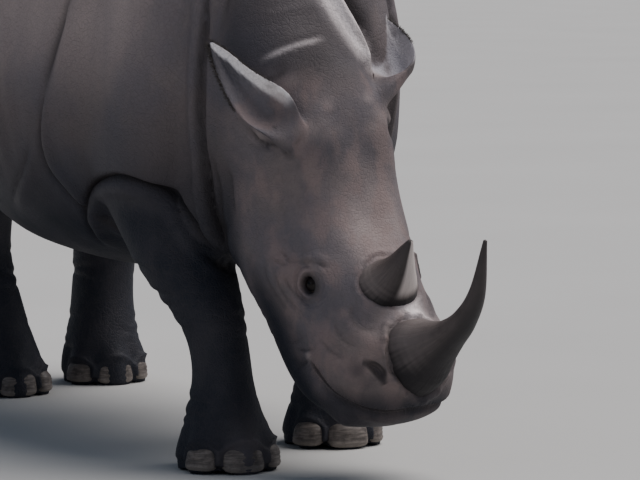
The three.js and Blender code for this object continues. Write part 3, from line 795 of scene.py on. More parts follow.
def toes(points, name):
    """Three toes swell round the nails, and a shallow groove parts each from the next. The skin sinks under
    each nail and rises in a cuticle above it. The pad bulges just above the ground and has an edge a little
    way up."""
    foot = LEGS[name][3]
    away = points[:, :2] - (np.array(foot) + SHIFT[:2])
    inside = (np.linalg.norm(away, axis=1) < 0.22) & (points[:, 2] < 0.14)
    around = np.degrees(np.arctan2(away[:, 1], away[:, 0]))
    low = ease(0.14 - points[:, 2], 0, 0.08)
    front = ease(118 - np.abs(around), 0, 45)
    lobes = np.cos(np.radians(around) * 360 / NAIL_TURNS["3"])
    height = low * front * (0.009 * lobes - 0.001)
    height -= 0.004 * bell(points[:, 2], 0.022, 0.006) * ease(np.abs(around), 30, 100)
    for number, turn in NAIL_TURNS.items():
        low_corner, high_corner = (np.array(c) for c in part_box("nail" + name[3:] + "_" + number))
        local = turned(points - (low_corner + high_corner) / 2, 2, -turn)
        wide, tall = MIDDLE_NAIL if turn == 0 else OUTER_NAIL
        r = np.sqrt((local[:, 1] / wide) ** 2 + (local[:, 2] / tall) ** 2)
        here = (local[:, 0] > -0.06) & (np.abs(local[:, 1]) < 0.1) & (local[:, 2] > -0.02)
        cuticle = 0.0065 * bell(r, 1.22, 0.15) - 0.004 * (1 - ease(r, 0.7, 1.05))
        height += np.where(here, cuticle, 0)
    return np.where(inside, height, 0)


# %% Small unevenness
def ripple(points, wavelength, seed, waves=14):
    """Smooth unevenness between about -1 and 1: a sum of sine waves of near that length in scattered
    directions."""
    dice = np.random.default_rng(seed)
    ways = unit(dice.normal(size=(waves, 3))) * (2 * np.pi / wavelength) * dice.uniform(0.7, 1.4, (waves, 1))
    return np.sin(points @ ways.T + dice.uniform(0, 2 * np.pi, waves)).sum(1) / np.sqrt(waves)


# %% [markdown]
# ## The relief of the head
# Under the hide of a white rhinoceros's face are a strong cheek bone, a hollow temple, a ridge over the
# eye, a deep chewing muscle and the boss of bone that carries the front horn. The mouth is a wide straight
# lawn mower: the upper lip has a soft rim that overlaps the lower one.

# %% Bones and muscles of the head, in shares of its length
HEAD_MOUNDS = [
    [0.50, 0.215, -0.165, 0.07, 0.05, 0.03, 0.012],
    [0.46, 0.24, -0.30, 0.16, 0.06, 0.045, 0.012],
    [0.36, 0.23, -0.15, 0.10, 0.06, 0.05, -0.012],
    [0.60, 0.23, -0.34, 0.09, 0.06, 0.05, -0.006],
    [0.34, 0.24, -0.43, 0.14, 0.08, 0.10, 0.016],
    [0.64, 0.21, -0.20, 0.045, 0.05, 0.05, -0.010],
    [0.70, 0.19, -0.28, 0.10, 0.06, 0.04, 0.007],
    [0.77, 0.14, -0.13, 0.035, 0.04, 0.03, 0.010],
    [0.735, 0.09, -0.12, 0.035, 0.08, 0.04, -0.012],
    [0.86, 0.16, -0.22, 0.07, 0.06, 0.05, 0.010],
    [0.84, 0.0, -0.11, 0.09, 0.10, 0.05, 0.008],
    [0.93, 0.17, -0.36, 0.07, 0.05, 0.06, 0.010],
    [0.80, 0.18, -0.42, 0.10, 0.05, 0.05, 0.006],
    [0.80, 0.13, -0.51, 0.11, 0.08, 0.05, 0.016],
    [0.70, 0.15, -0.53, 0.10, 0.08, 0.05, 0.010],
    [0.60, 0.17, -0.49, 0.12, 0.08, 0.06, 0.013],
    [0.965, 0.10, -0.30, 0.05, 0.09, 0.035, -0.008],
    [0.16, 0.14, -0.04, 0.05, 0.06, 0.05, 0.010],
    [0.24, 0.0, -0.06, 0.07, 0.06, 0.05, -0.008],
    [0.02, 0.0, -0.02, 0.06, 0.12, 0.05, 0.010],
    [0.13, 0.20, -0.16, 0.05, 0.05, 0.05, 0.012],
    [0.60, 0.0, -0.1, 0.12, 0.12, 0.06, 0.016],
    [0.48, 0.10, -0.11, 0.10, 0.035, 0.04, 0.006],
    [0.48, 0.0, -0.11, 0.10, 0.045, 0.04, -0.006],
]

# %% Folds of the head, in shares: guide, width, depth, roll, lean, ends (each on both sides)
FACE = [
    ([[0.485, 0.205, -0.22], [0.515, 0.17, -0.19], [0.545, 0.135, -0.165]],
     0.006, 0.005, -0.004, 0.0, (0.4, 0.4)),
    ([[0.475, 0.225, -0.25], [0.51, 0.195, -0.205], [0.565, 0.165, -0.19]],
     0.005, 0.0035, -0.003, 0.0, (0.3, 0.3)),
    ([[0.50, 0.225, -0.27], [0.56, 0.215, -0.275], [0.62, 0.19, -0.245]],
     0.005, 0.005, 0.003, 0.0, (0.3, 0.3)),
    ([[0.47, 0.235, -0.285], [0.56, 0.23, -0.305], [0.64, 0.20, -0.27]],
     0.006, 0.005, 0.003, 0.0, (0.3, 0.3)),
    ([[0.445, 0.24, -0.27], [0.48, 0.24, -0.325], [0.56, 0.23, -0.335], [0.62, 0.215, -0.315]],
     0.006, 0.004, 0.003, 0.0, (0.3, 0.3)),
    ([[0.44, 0.235, -0.245], [0.49, 0.215, -0.235]], 0.004, 0.004, 0.0, 0.0, (0.4, 0.2)),
    ([[0.445, 0.245, -0.285], [0.495, 0.22, -0.25]], 0.004, 0.0035, 0.0, 0.0, (0.4, 0.2)),
    ([[0.655, 0.14, -0.14], [0.71, 0.14, -0.145], [0.755, 0.095, -0.115]],
     0.007, 0.006, 0.004, 0.0, (0.3, 0.3)),
    ([[0.68, 0.175, -0.20], [0.74, 0.17, -0.195], [0.79, 0.145, -0.165]],
     0.006, 0.005, 0.003, 0.0, (0.35, 0.35)),
    ([[0.70, 0.195, -0.26], [0.76, 0.185, -0.24], [0.81, 0.165, -0.195]],
     0.006, 0.004, 0.003, 0.0, (0.35, 0.35)),
    ([[0.70, 0.20, -0.37], [0.72, 0.20, -0.33], [0.735, 0.19, -0.28]], 0.006, 0.006, 0.005, 0.0, (0.3, 0.4)),
    ([[0.67, 0.21, -0.40], [0.685, 0.21, -0.34], [0.69, 0.20, -0.28]], 0.006, 0.004, 0.003, 0.0, (0.3, 0.4)),
    ([[0.745, 0.195, -0.42], [0.75, 0.20, -0.335]], 0.006, 0.006, 0.004, 0.0, (0.3, 0.2)),
    ([[0.13, 0.02, -0.02], [0.15, 0.12, -0.045]], 0.006, 0.0014, 0.001, 0.0, (0.4, 0.4)),
    ([[0.085, 0.255, -0.17], [0.145, 0.215, -0.165], [0.18, 0.185, -0.11], [0.16, 0.145, -0.065]],
     0.007, 0.018, -0.012, 0.0, (0.25, 0.25)),
    ([[0.10, 0.245, -0.20], [0.15, 0.235, -0.19], [0.19, 0.19, -0.115]],
     0.010, 0.004, -0.003, 0.0, (0.35, 0.35)),
    ([[-0.01, 0.20, -0.085], [0.005, 0.175, -0.06], [-0.01, 0.145, -0.035]],
     0.007, 0.008, 0.006, 0.0, (0.3, 0.3)),
    ([[0.16, 0.16, -0.545], [0.24, 0.10, -0.56], [0.27, 0.0, -0.565]], 0.010, 0.008, 0.006, 0.0, (0.3, 0.0)),
]
MOUTH = [
    [0.74, 0.20, -0.33], [0.80, 0.19, -0.315], [0.86, 0.18, -0.30], [0.915, 0.155, -0.26],
    [0.945, 0.13, -0.23], [0.97, 0.075, -0.205], [0.977, 0, -0.19],
]
NOSTRIL = [[0.83, 0.145, -0.17], [0.845, 0.135, -0.15], [0.875, 0.12, -0.145], [0.905, 0.105, -0.155]]


def both_ways(guide):
    """A guide that starts at the side and ends in the middle, carried on to the other side."""
    guide = np.asarray(guide, float)
    return np.vstack([guide, mirrored(guide[:-1])[::-1]])


# %% [markdown]
# ## Eyes, nostrils and mouth need a finer net
# The hide's squares are too big for an eyelid. Only the squares round the eyes, nostrils and lips are
# divided, so that the count stays low elsewhere.


# %% Divide a region
def divided(points, faces, region):
    """The mesh with every edge whose two ends are in the region cut in half, as triangles."""
    mesh = bpy.data.meshes.new("dividing")
    mesh.from_pydata(points.tolist(), [], faces.tolist())
    net = bmesh.new()
    net.from_mesh(mesh)
    net.verts.ensure_lookup_table()
    edges = [e for e in net.edges if region[e.verts[0].index] and region[e.verts[1].index]]
    bmesh.ops.subdivide_edges(net, edges=edges, cuts=1, use_grid_fill=True)
    bmesh.ops.triangulate(net, faces=net.faces[:], quad_method="SHORT_EDGE", ngon_method="BEAUTY")
    net.to_mesh(mesh)
    net.free()
    made = read(mesh)
    bpy.data.meshes.remove(mesh)
    return made


# %% [markdown]
# ## The eye's opening
# The eye is small and set deep, in a wide ring of wrinkled lids. The skin sinks inside an almond until the
# eyeball stands out of it, and rises as a thick lid round it.

# %% Eyelids
LID_LONG, LID_TALL = 0.0220, 0.0170


def eye_frame(side, tree):
    """The eye's place on the skin and its axes: towards the muzzle, upward, and out of the skin."""
    centre = from_head(EYE * [1, side, 1]) + SHIFT
    sideways = to_left * side
    place = np.array(tree.ray_cast((centre + 0.2 * sideways).tolist(), (-sideways).tolist())[0])
    out = unit(sideways + 0.35 * outward)
    ahead = spun(along, sideways, 14 * side)
    ahead = unit(ahead - out * (ahead @ out))
    return place, np.stack([ahead, np.cross(out, ahead) * side, out])


def lids(points, side, tree):
    """Height of the lids and the painted shade in them: with r the almond's measure (1 on its edge), the skin
    sinks inside r = 1, rises in a bell at r = 1.2 and falls into rings of wrinkles beyond it. The upper lid
    is the heavier one. The painted shade fills the sunken lids out to r = 1.6, partly the lids' own blackish
    skin."""
    place, axes = eye_frame(side, tree)
    local = (points - place) @ axes.T
    u, v, _ = local.T
    near = (np.abs(local) < [0.09, 0.09, 0.05]).all(1)
    v = v - 0.0015 * (1 - (u / LID_LONG) ** 2) * (np.abs(u) < LID_LONG)
    r = np.sqrt(np.abs(u / LID_LONG) ** 1.7 + np.abs(v / LID_TALL) ** 2 + 1e-9)
    upper = ease(v, -0.01, 0.012)
    uneven = 0.5 + 0.5 * np.sin(2 * np.arctan2(v, u) + 2.5 * r)
    height = -0.0175 * (1 - ease(r, 0.74, 1.04))
    height += (0.0050 + 0.0035 * upper) * bell(r, 1.28, 0.26)
    height -= (0.0022 + 0.0018 * upper) * bell(r, 1.95, 0.22)
    height += 0.0016 * bell(r, 2.4, 0.25) * uneven
    height -= 0.0018 * bell(r, 2.85, 0.25) * uneven
    height -= 0.0010 * bell(r, 3.6, 0.3) * (1 - uneven)
    # Painted shade in the sunken lids, partly the lids' own blackish skin.
    painted_shade = np.where(near, 1 - ease(r, 1.0, 1.6), 0)
    return np.where(near, height, 0), axes[2], painted_shade


# %% [markdown]
# ## Where the horns grow
# The hide stands in a low rough collar round each horn, with a groove at the horn's foot that carries painted
# shade. The collar follows the oval of the horn's base.

# %% Collars
COLLARS = [(0.85, 0.103, 0.093, 1.0), (0.63, 0.080, 0.091, 0.35)]


def collar(points):
    """Height and painted shade round the horns: with r the oval's measure, a groove at r = 1, shaded, and a
    wavy ring outside."""
    share = to_head(points)
    height, painted_shade = np.zeros(len(points)), np.zeros(len(points))
    for place, half, wide, bold in COLLARS:
        x, y = (share[:, 0] - place) / half, share[:, 1] / wide
        r, turn = np.sqrt(x**2 + y**2), np.arctan2(y, x)
        r = r + 0.025 * np.sin(5 * turn + 20 * place) + 0.015 * np.sin(11 * turn)
        here = (share[:, 2] > -0.2) & (np.abs(x) < 2) & (np.abs(y) < 2)
        ring = 0.0075 * bell(r, 1.15, 0.08) * (1 + 0.3 * np.sin(17 * turn) + 0.2 * np.sin(29 * turn))
        height += bold * np.where(here, ring - 0.006 * bell(r, 1.0, 0.05), 0)
        # Painted shade in the groove at each horn's foot.
        painted_shade = np.maximum(painted_shade, bold * np.where(here, bell(r, 1.01, 0.05), 0))
    return height, painted_shade


# %% Shape the whole skin
def tree_of(points, faces):
    """A search tree that finds the nearest place on a mesh."""
    return BVHTree.FromPolygons(points.tolist(), faces.tolist())


def all_lines(tree):
    """Every fold's line on this skin, in metres: line, width, depth, roll, lean, ends."""
    rows = []
    for guide, width, depth, roll, lean, ends, both in FOLDS:
        rows.append((on_skin(guide, tree), width, depth, roll, lean, ends))
        if both:
            rows.append((on_skin(mirrored(guide), tree), width, depth, -roll, -lean, ends))
    for guide, width, depth, roll, lean, ends in NAPE:
        rows.append((on_skin(guide, tree), width, depth, roll, lean, ends))
    for guide, width, depth, roll, lean, ends in FACE:
        for side in (1, -1):
            placed = from_head(np.array(guide) * [1, side, 1]) + SHIFT
            rows.append((on_skin(placed, tree), width, depth, roll * side, lean * side, ends))
    return rows


relief = mounds(skin_points, BODY_MOUNDS) + spine(skin_points)
relief += mounds(to_head(skin_points), HEAD_MOUNDS) * ease(skin_points[:, 0], 0.78, 0.9)
on_body = 1 - ease(-skin_points[:, 0], 1.38, 1.42) * ease(-skin_points[:, 2], -1.2, -1.0)
relief += on_body * (0.0030 * ripple(skin_points, 0.42, 1) + 0.0012 * ripple(skin_points, 0.16, 2))
skin_points = skin_points + relief[:, None] * skin_normals
skin_normals = normals_of(skin_points, skin_faces)
tree = tree_of(skin_points, skin_faces)
lines = all_lines(tree)
moves = np.zeros_like(skin_points)
for line, width, depth, roll, lean, ends in lines:
    moves += fold(skin_points, skin_normals, line, width, depth, roll, lean, ends)[0]
skin_points = skin_points + moves
relief = sum(rings(skin_points, name) + toes(skin_points, name) for name in LEGS) + collar(skin_points)[0]
skin_points = skin_points + relief[:, None] * skin_normals
skin_points[:, 2] = np.maximum(skin_points[:, 2], 0)
print("folds:", len(lines), "deepest move", np.linalg.norm(moves, axis=1).max().round(4))

# %% [markdown]
# ## Joining the ears
# A cut of solids joins the thin ears to the skin exactly where they meet it. The line of the cut would
# show, so the skin close to both is relaxed into one soft root.


# %% Join and blend the ears
def joined(points, faces, added):
    """The union of a closed mesh and some closed pieces, as triangles."""
    whole = mesh_object("joining", points, faces)
    extra = []
    for number, (ear_points, ear_faces) in enumerate(added):
        piece = mesh_object(f"added {number}", ear_points, ear_faces)
        union = whole.modifiers.new(piece.name, "BOOLEAN")
        union.operation, union.solver, union.object = "UNION", "MANIFOLD", piece
        extra.append(piece)
    mesh = evaluated(whole)
    net = bmesh.new()
    net.from_mesh(mesh)
    bmesh.ops.triangulate(net, faces=net.faces[:])
    net.to_mesh(mesh)
    net.free()
    result = read(mesh)
    bpy.data.meshes.remove(mesh)
    for piece in (whole, *extra):
        bpy.data.objects.remove(piece)
    return result


def bed(points, name):
    """Presses the skin back behind an ear so that the ear stands clear of it: a point may reach, along the
    ear's opening axis, only to 14 mm behind the hollow's back; the push is held to 45 mm and fades round
    the ear."""
    base, axes = ear_axes(name)
    t, c, rise = ((points - SHIFT - base) @ axes.T).T
    t = np.clip(t / EAR_LENGTH, -1, 2)
    width = EAR_BROAD[name] * ear_width(np.clip(t, 0, 1))
    back = -ear_cup(np.clip(t, 0, 1)) * width * np.maximum(0, 1 - (c / width) ** 2) - 0.014
    share = ease(t, 0.12, 0.5) * ease(1.35 - t, 0, 0.3) * ease(0.095 - np.abs(c), 0, 0.05) * (rise < 0.1)
    return points - (share * np.clip(rise - back, 0, 0.045))[:, None] * axes[2]


for name in EARS:
    skin_points = bed(skin_points, name)
by_ears = 0.5 * ease(skin_points[:, 0], 0.6, 0.7) * ease(skin_points[:, 2], 0.75, 0.85)
skin_points = relax(skin_points, skin_faces, 3, by_ears)
ear_forms = [(points + SHIFT, polygons) for points, polygons in (ear(name) for name in EARS)]
before = len(skin_points)
plain = tree_of(skin_points, skin_faces)
skin_points, skin_faces = joined(skin_points, skin_faces, ear_forms)
around_ears = np.flatnonzero((skin_points[:, 0] > 0.75) & (skin_points[:, 2] > 0.75))
ear_trees = [BVHTree.FromPolygons(points.tolist(), polygons) for points, polygons in ear_forms]
places = skin_points[around_ears].tolist()
to_plain = np.array([plain.find_nearest(p)[3] for p in places])
to_ear = np.array([min(tree.find_nearest(p)[3] for tree in ear_trees) for p in places])
root = np.zeros(len(skin_points))
root[around_ears] = ease(0.040 - to_plain, 0, 0.025) * ease(0.040 - to_ear, 0, 0.025)
skin_points = relax(skin_points, skin_faces, 30, 0.6 * root)
print("ears joined:", before, "->", len(skin_points), "vertices,", int((root > 0.5).sum()), "at the roots")

# %% Divide and shape the details of the head
tree = tree_of(skin_points, skin_faces)
mouth_line = on_skin(from_head(both_ways(MOUTH)) + SHIFT, tree)
nostril_lines = [from_head(np.array(NOSTRIL) * [1, side, 1]) + SHIFT for side in (1, -1)]
nostril_lines = [on_skin(line, tree, 0.006) for line in nostril_lines]
eyes_at = [eye_frame(side, tree)[0] for side in (1, -1)]


def gap_to(points, places):
    """Distance from each point to the nearest of some places."""
    return np.sqrt(((points[:, None] - np.asarray(places)[None]) ** 2).sum(-1)).min(1)


def detail(points, reach):
    """Whether each point is within reach of an eye, a nostril or the line of the mouth."""
    found = np.zeros(len(points), bool)
    head_only = np.flatnonzero(points[:, 0] > 0.75)
    places = np.vstack([eyes_at, *nostril_lines, mouth_line[::2]])
    found[head_only] = gap_to(points[head_only], places) < reach
    return found


skin_points, skin_faces = divided(skin_points, skin_faces, detail(skin_points, 0.060))
skin_points, skin_faces = divided(skin_points, skin_faces, detail(skin_points, 0.030))
skin_points = relax(skin_points, skin_faces, 3, 0.4 * detail(skin_points, 0.055))
skin_normals = normals_of(skin_points, skin_faces)
tree = tree_of(skin_points, skin_faces)
moves = fold(skin_points, skin_normals, mouth_line, 0.0055, 0.015, -0.006, -0.004, (0.10, 0.10), 0.35)[0]
near, share, offset, way = nearest_on(mouth_line, skin_points, 0.05)
below = (offset * np.cross(skin_normals[near], way)).sum(1)
lip = np.sin(share * 520 + 3 * np.sin(share * 61)) * bell(np.abs(below), 0.010, 0.009)
inset = bell(below, 0.014, 0.012) * ease(share, 0.03, 0.2) * ease(1 - share, 0.03, 0.2)
moves[near] += (0.0008 * lip - 0.007 * inset)[:, None] * skin_normals[near]
for line, side in zip(nostril_lines, (1, -1)):
    roll, lean = 0.008 * side, 0.003 * side
    moves += fold(skin_points, skin_normals, line, 0.0090, 0.022, roll, lean, (0.5, 0.5), 0.10)[0]
skin_points = skin_points + moves
for side in (1, -1):
    height, out, _ = lids(skin_points, side, tree)
    skin_points = skin_points + height[:, None] * out
skin_normals = normals_of(skin_points, skin_faces)
print("skin with details:", len(skin_points), "vertices,", len(skin_faces), "faces")

# %% [markdown]
# ## Fewer triangles where the hide is plain
# The barrel is smooth and the face is not. Collapsing the shortest and flattest edges first keeps the
# folds, and a weight protects the head, whose relief is finest.

# %% Thin out
MOST_TRIANGLES = 192000


def thinned(points, faces, weights, most):
    """(points, triangles) with at most that many triangles, where weights (0 to 1) say how firmly to keep
    them."""
    made = mesh_object("thinning", points, faces)
    group = made.vertex_groups.new(name="keep")
    for level in (0.25, 0.5, 1.0):
        chosen = np.flatnonzero((weights > level - 0.25) & (weights <= level)).tolist()
        group.add(chosen, level, "REPLACE")
    thin_out = made.modifiers.new("thin", "DECIMATE")
    thin_out.ratio = min(1.0, most / len(faces))
    thin_out.vertex_group, thin_out.vertex_group_factor, thin_out.invert_vertex_group = "keep", 0.0003, True
    mesh = evaluated(made)
    result = read(mesh)
    bpy.data.objects.remove(made)
    bpy.data.meshes.remove(mesh)
    return result


importance = 0.25 * ease(skin_points[:, 0], 0.0, 0.5) * ease(0.25 - skin_points[:, 1], 0, 0.3)
importance = np.maximum(importance, 0.5 * ease(skin_points[:, 0], 0.8, 0.95))
importance = np.maximum(importance, 1.0 * detail(skin_points, 0.035))
skin_points, skin_faces = thinned(skin_points, skin_faces, importance, MOST_TRIANGLES)
skin_normals = normals_of(skin_points, skin_faces)
print("thinned skin:", len(skin_faces), "triangles")

# %% [markdown]
# ## What the paint needs to know
# Painted shade darkens the creases, the underside, the lips and the feet; dust and painted top light pale the
# forehead and the back; painted highlights run along the crest, between the horns and along the ears' upper
# rims, and the far ear's hollow is painted lighter than the near one's. Each is a number at every vertex,
# worked out from the same lines and places as the relief, so that the paint follows the shape from every
# side.


# %% Soft spots
def spots(points, rows, both=False):
    """The strongest of soft spots: each row is a place, three sizes and a strength."""
    found = np.zeros(len(points))
    for x, y, z, length, width, tall, strength in rows:
        for side in (1, -1) if both and y else (1,):
            d = (points - [x, y * side, z]) / [length, width, tall]
            found = np.maximum(found, strength * np.exp(-np.minimum((d**2).sum(1), 40)))
    return found


# %% Painted shade in the creases
FULL_SHADE_DEPTH = 0.012


def crease_shade_mark(points, normals, tree):
    """Painted shade in the creases: 1 at the bottom of a fold, a lid, a nostril or the mouth, less in shallow
    folds, and 0 on open hide. The grooves at the horns' feet are shaded too."""
    crease_shade = 0.8 * collar(points)[1]
    for line, width, depth, _, _, ends in all_lines(tree):
        fold_shade = fold(points, normals, line, 1.1 * width, depth, 0, 0, ends)[1]
        crease_shade = np.maximum(crease_shade, fold_shade * min(1, depth / FULL_SHADE_DEPTH))
    for line, width in ((mouth_line, 0.008), *((line, 0.012) for line in nostril_lines)):
        crease_shade = np.maximum(crease_shade, fold(points, normals, line, width, 0.01, 0, 0, (0.05, 0.05))[1])
    for side in (1, -1):
        crease_shade = np.maximum(crease_shade, lids(points, side, tree)[2])
    return crease_shade


# %% Dust with painted light, and spots of painted shade, on the head, in shares of its length: place, sizes and strength
# Spots of dust with painted light, most of all on the forehead.
DUST_AND_LIGHT = [
    [0.47, 0.0, -0.11, 0.10, 0.15, 0.06, 1.0], [0.54, 0.05, -0.12, 0.05, 0.09, 0.05, 0.5],
    [0.74, 0.0, -0.10, 0.05, 0.07, 0.05, 1.0], [0.77, 0.13, -0.13, 0.03, 0.04, 0.03, 0.2],
    [0.535, 0.19, -0.205, 0.030, 0.04, 0.03, 0.6], [0.17, 0.11, -0.05, 0.03, 0.05, 0.04, 0.4],
    [0.74, 0.20, -0.32, 0.014, 0.02, 0.014, 0.8], [0.02, 0.15, -0.04, 0.02, 0.03, 0.03, 0.5],
    [0.44, 0.02, -0.11, 0.10, 0.10, 0.06, 0.8],
    [0.53, 0.115, -0.15, 0.05, 0.05, 0.04, 0.45], [0.19, 0.085, -0.045, 0.025, 0.05, 0.03, 0.35],
    [0.118, 0.07, -0.02, 0.02, 0.025, 0.03, 0.4], [0.13, 0.235, -0.155, 0.03, 0.035, 0.04, 0.4],
]
# A spot of painted highlight between the horns.
BRIDGE_HIGHLIGHT = [[0.735, 0.03, -0.105, 0.045, 0.05, 0.04, 0.8]]
# Spots of painted shade on the head, most of them on the lips, the jaw and by the nostrils.
SHADE_SPOTS = [
    [0.66, 0.20, -0.43, 0.15, 0.12, 0.07, 0.55], [0.86, 0.17, -0.47, 0.14, 0.14, 0.07, 0.9],
    [0.97, 0.0, -0.36, 0.08, 0.16, 0.09, 1.0], [0.25, 0.10, -0.06, 0.07, 0.10, 0.06, 0.35],
    [0.985, 0.0, -0.19, 0.07, 0.18, 0.07, 1.0], [0.845, 0.155, -0.185, 0.03, 0.03, 0.03, 0.7],
    [0.88, 0.14, -0.19, 0.05, 0.05, 0.05, 0.45],
]


# %% Painted highlight along the nape's ridge
CREST_START = [[0.60, 0.0, 1.50], [0.70, -0.01, 1.38]]
CREST_ASIDE = [-0.010, -0.022, 0.004]
STRAND = 0.026


def crest_mark(points, normals, tree):
    """A painted highlight along the nape's ridge, in strands: 0.86 + 0.14 * a cosine across it, in a bell. A
    thin line of painted highlight crosses behind the poll."""
    crest_highlight = np.zeros(len(points))
    top_line = np.vstack([CREST_START, np.array(NAPE[0][0]) + CREST_ASIDE])
    near, run, offset, way = nearest_on(on_skin(top_line, tree), points, 0.08)
    aside = (offset * np.cross(normals[near], way)).sum(1)
    strands = 0.86 + 0.14 * np.cos(aside * 2 * np.pi / STRAND + 2.0 * np.sin(run * 9))
    crest_highlight[near] = strands * bell(aside, 0, 0.028) * ease(1 - run, 0.0, 0.12) * ease(run, 0.0, 0.32)
    near, run, offset, _ = nearest_on(on_skin(np.array(NAPE[4][0]), tree), points, 0.03)
    thin = 0.35 * np.exp(-(offset**2).sum(1) / 0.006**2) * ease(run, 0, 0.3) * ease(1 - run, 0, 0.3)
    crest_highlight[near] = np.maximum(crest_highlight[near], thin)
    return crest_highlight


# %% Painted shade of the underside
def painted_shade_mark(points, normals, share, head_part, crest_highlight):
    """1 where painted shade is strongest: low on the body, under the jaw, at spots on the head, beside the
    ridge of the nape and wherever the hide faces down."""
    # Painted shade: spots on the head, low on the body and legs, under the jaw, beside the nape's ridge and
    # where the hide faces down.
    spotted = spots(share, SHADE_SPOTS, True) * head_part
    low = 0.93 * ease(1.02 - points[:, 2], 0, 0.5) * (1 - head_part)
    beneath = ease(-share[:, 2], 0.29, 0.41) * ease(share[:, 0], 0.30, 0.55) * head_part
    beneath = np.maximum(beneath, 0.78 * ease(0.265 - points[:, 2], 0, 0.08) * head_part)
    nape_side = 0.6 * ease(points[:, 2], 0.90, 1.0) * ease(points[:, 0], 0.76, 0.86)
    nape_side = nape_side * (1 - ease(share[:, 0], 0.04, 0.16)) * (1 - crest_highlight)
    downward = 0.35 * ease(-normals[:, 2], 0.1, 0.8)
    return np.maximum.reduce([spotted, low, beneath, nape_side, downward])


# %% Rims and hollows of the ears
def ear_marks(points, normals):
    """Painted highlight along the upper edge, painted light on the hollow's face, and painted shade in the
    hollow's lower half. edge runs across the ear from -1 at its lower edge to 1 at its upper one."""
    rim, inner, shade = (np.zeros(len(points)) for _ in range(3))
    for name, ear_tree in zip(EARS, ear_trees):
        base, axes = ear_axes(name)
        local = (points - SHIFT - base) @ axes.T
        t = local[:, 0] / EAR_LENGTH
        here = np.flatnonzero((t > -0.3) & (t < 1.05) & (np.abs(local[:, 1:]) < 0.09).all(1))
        gap = np.array([ear_tree.find_nearest(p)[3] for p in points[here].tolist()])
        on_ear = ease(0.007 - gap, 0, 0.005) * ease(t[here], 0.0, 0.2)
        at, aside = np.clip(t[here], 0, 1), local[here, 1]
        above = np.where(aside > 0, ear_upper[name](at), 1.0)
        edge = aside / (EAR_BROAD[name] * ear_width(at) * above)
        # Painted highlight along the upper rim.
        pale = RIM_HIGHLIGHT[name] * ease(edge - ribbon_from(at), 0, 0.2)
        rim[here] = np.maximum(rim[here], on_ear * ease(t[here], 0.05, 0.2) * pale)
        facing = ease(normals[here] @ axes[2], -0.2, 0.4)
        shade[here] = np.maximum(shade[here], EAR_SHADE[name] * on_ear * ease(0.2 - edge, 0, 0.5) * facing)
        # Painted light on the hollow's face: strong on the far ear, slight on the near one.
        inner[here] = np.maximum(inner[here], EAR_HOLLOW_LIGHT[name] * on_ear * facing)
    return rim, inner, shade


# %% All the marks
def marks(points, normals, tree):
    """The named numbers at each vertex that the hide's paint reads."""
    share = to_head(points)
    head_part = ease(points[:, 0], 0.8, 0.92) * ease(share[:, 0], -0.02, 0.06)
    # Painted top light: the upper body is made paler, as where light from above falls on it.
    back = 0.9 * (ease(points[:, 2], 0.82, 1.12) * (1 - ease(points[:, 0], 0.5, 0.75)))
    dust_and_light = np.maximum(spots(share, DUST_AND_LIGHT, True) * head_part, back)
    # Painted highlight on the nape's ridge and between the horns.
    crest_highlight = np.maximum(crest_mark(points, normals, tree), spots(share, BRIDGE_HIGHLIGHT) * head_part)
    rim, inner, shade = ear_marks(points, normals)
    # Painted shade, joined by the painted shade of the ears' hollows.
    painted_shade = np.maximum(painted_shade_mark(points, normals, share, head_part, crest_highlight), shade)
    from_lip, along_lip = np.full(len(points), 0.12), np.zeros(len(points))
    near, run, offset, _ = nearest_on(mouth_line, points, 0.11)
    from_lip[near], along_lip[near] = np.linalg.norm(offset, axis=1), run
    return {
        "crease_shade": crease_shade_mark(points, normals, tree), "dust_and_light": dust_and_light, "painted_shade": painted_shade, "crest_highlight": crest_highlight,
        "rim": rim, "inner": inner, "face": head_part,
        "from_lip": from_lip, "along_lip": along_lip, "from_eye": np.minimum(gap_to(points, eyes_at), 0.2),
    }


# %% The skin's object
skin = mesh_object("skin", skin_points, skin_faces)
skin_marks = marks(skin_points, skin_normals, tree_of(skin_points, skin_faces))
for name, values in skin_marks.items():
    keep_mark(skin, name, values)
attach(skin, "root")
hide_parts("trunk", "neck", "head", "tail", *LEGS, *EARS)
print("marks:", {name: (values.min().round(2), values.max().round(2)) for name, values in skin_marks.items()})

# %% [markdown]
# ## Bristles
# A white rhinoceros is almost bare. Short bristles fringe its ears, and longer ones hang in two rows at the
# end of the tail. Each is a thin three-sided stick that bends down to a point. The map OFBake gives each
# stick a small patch at its root's place on the unrolled ear or tail.

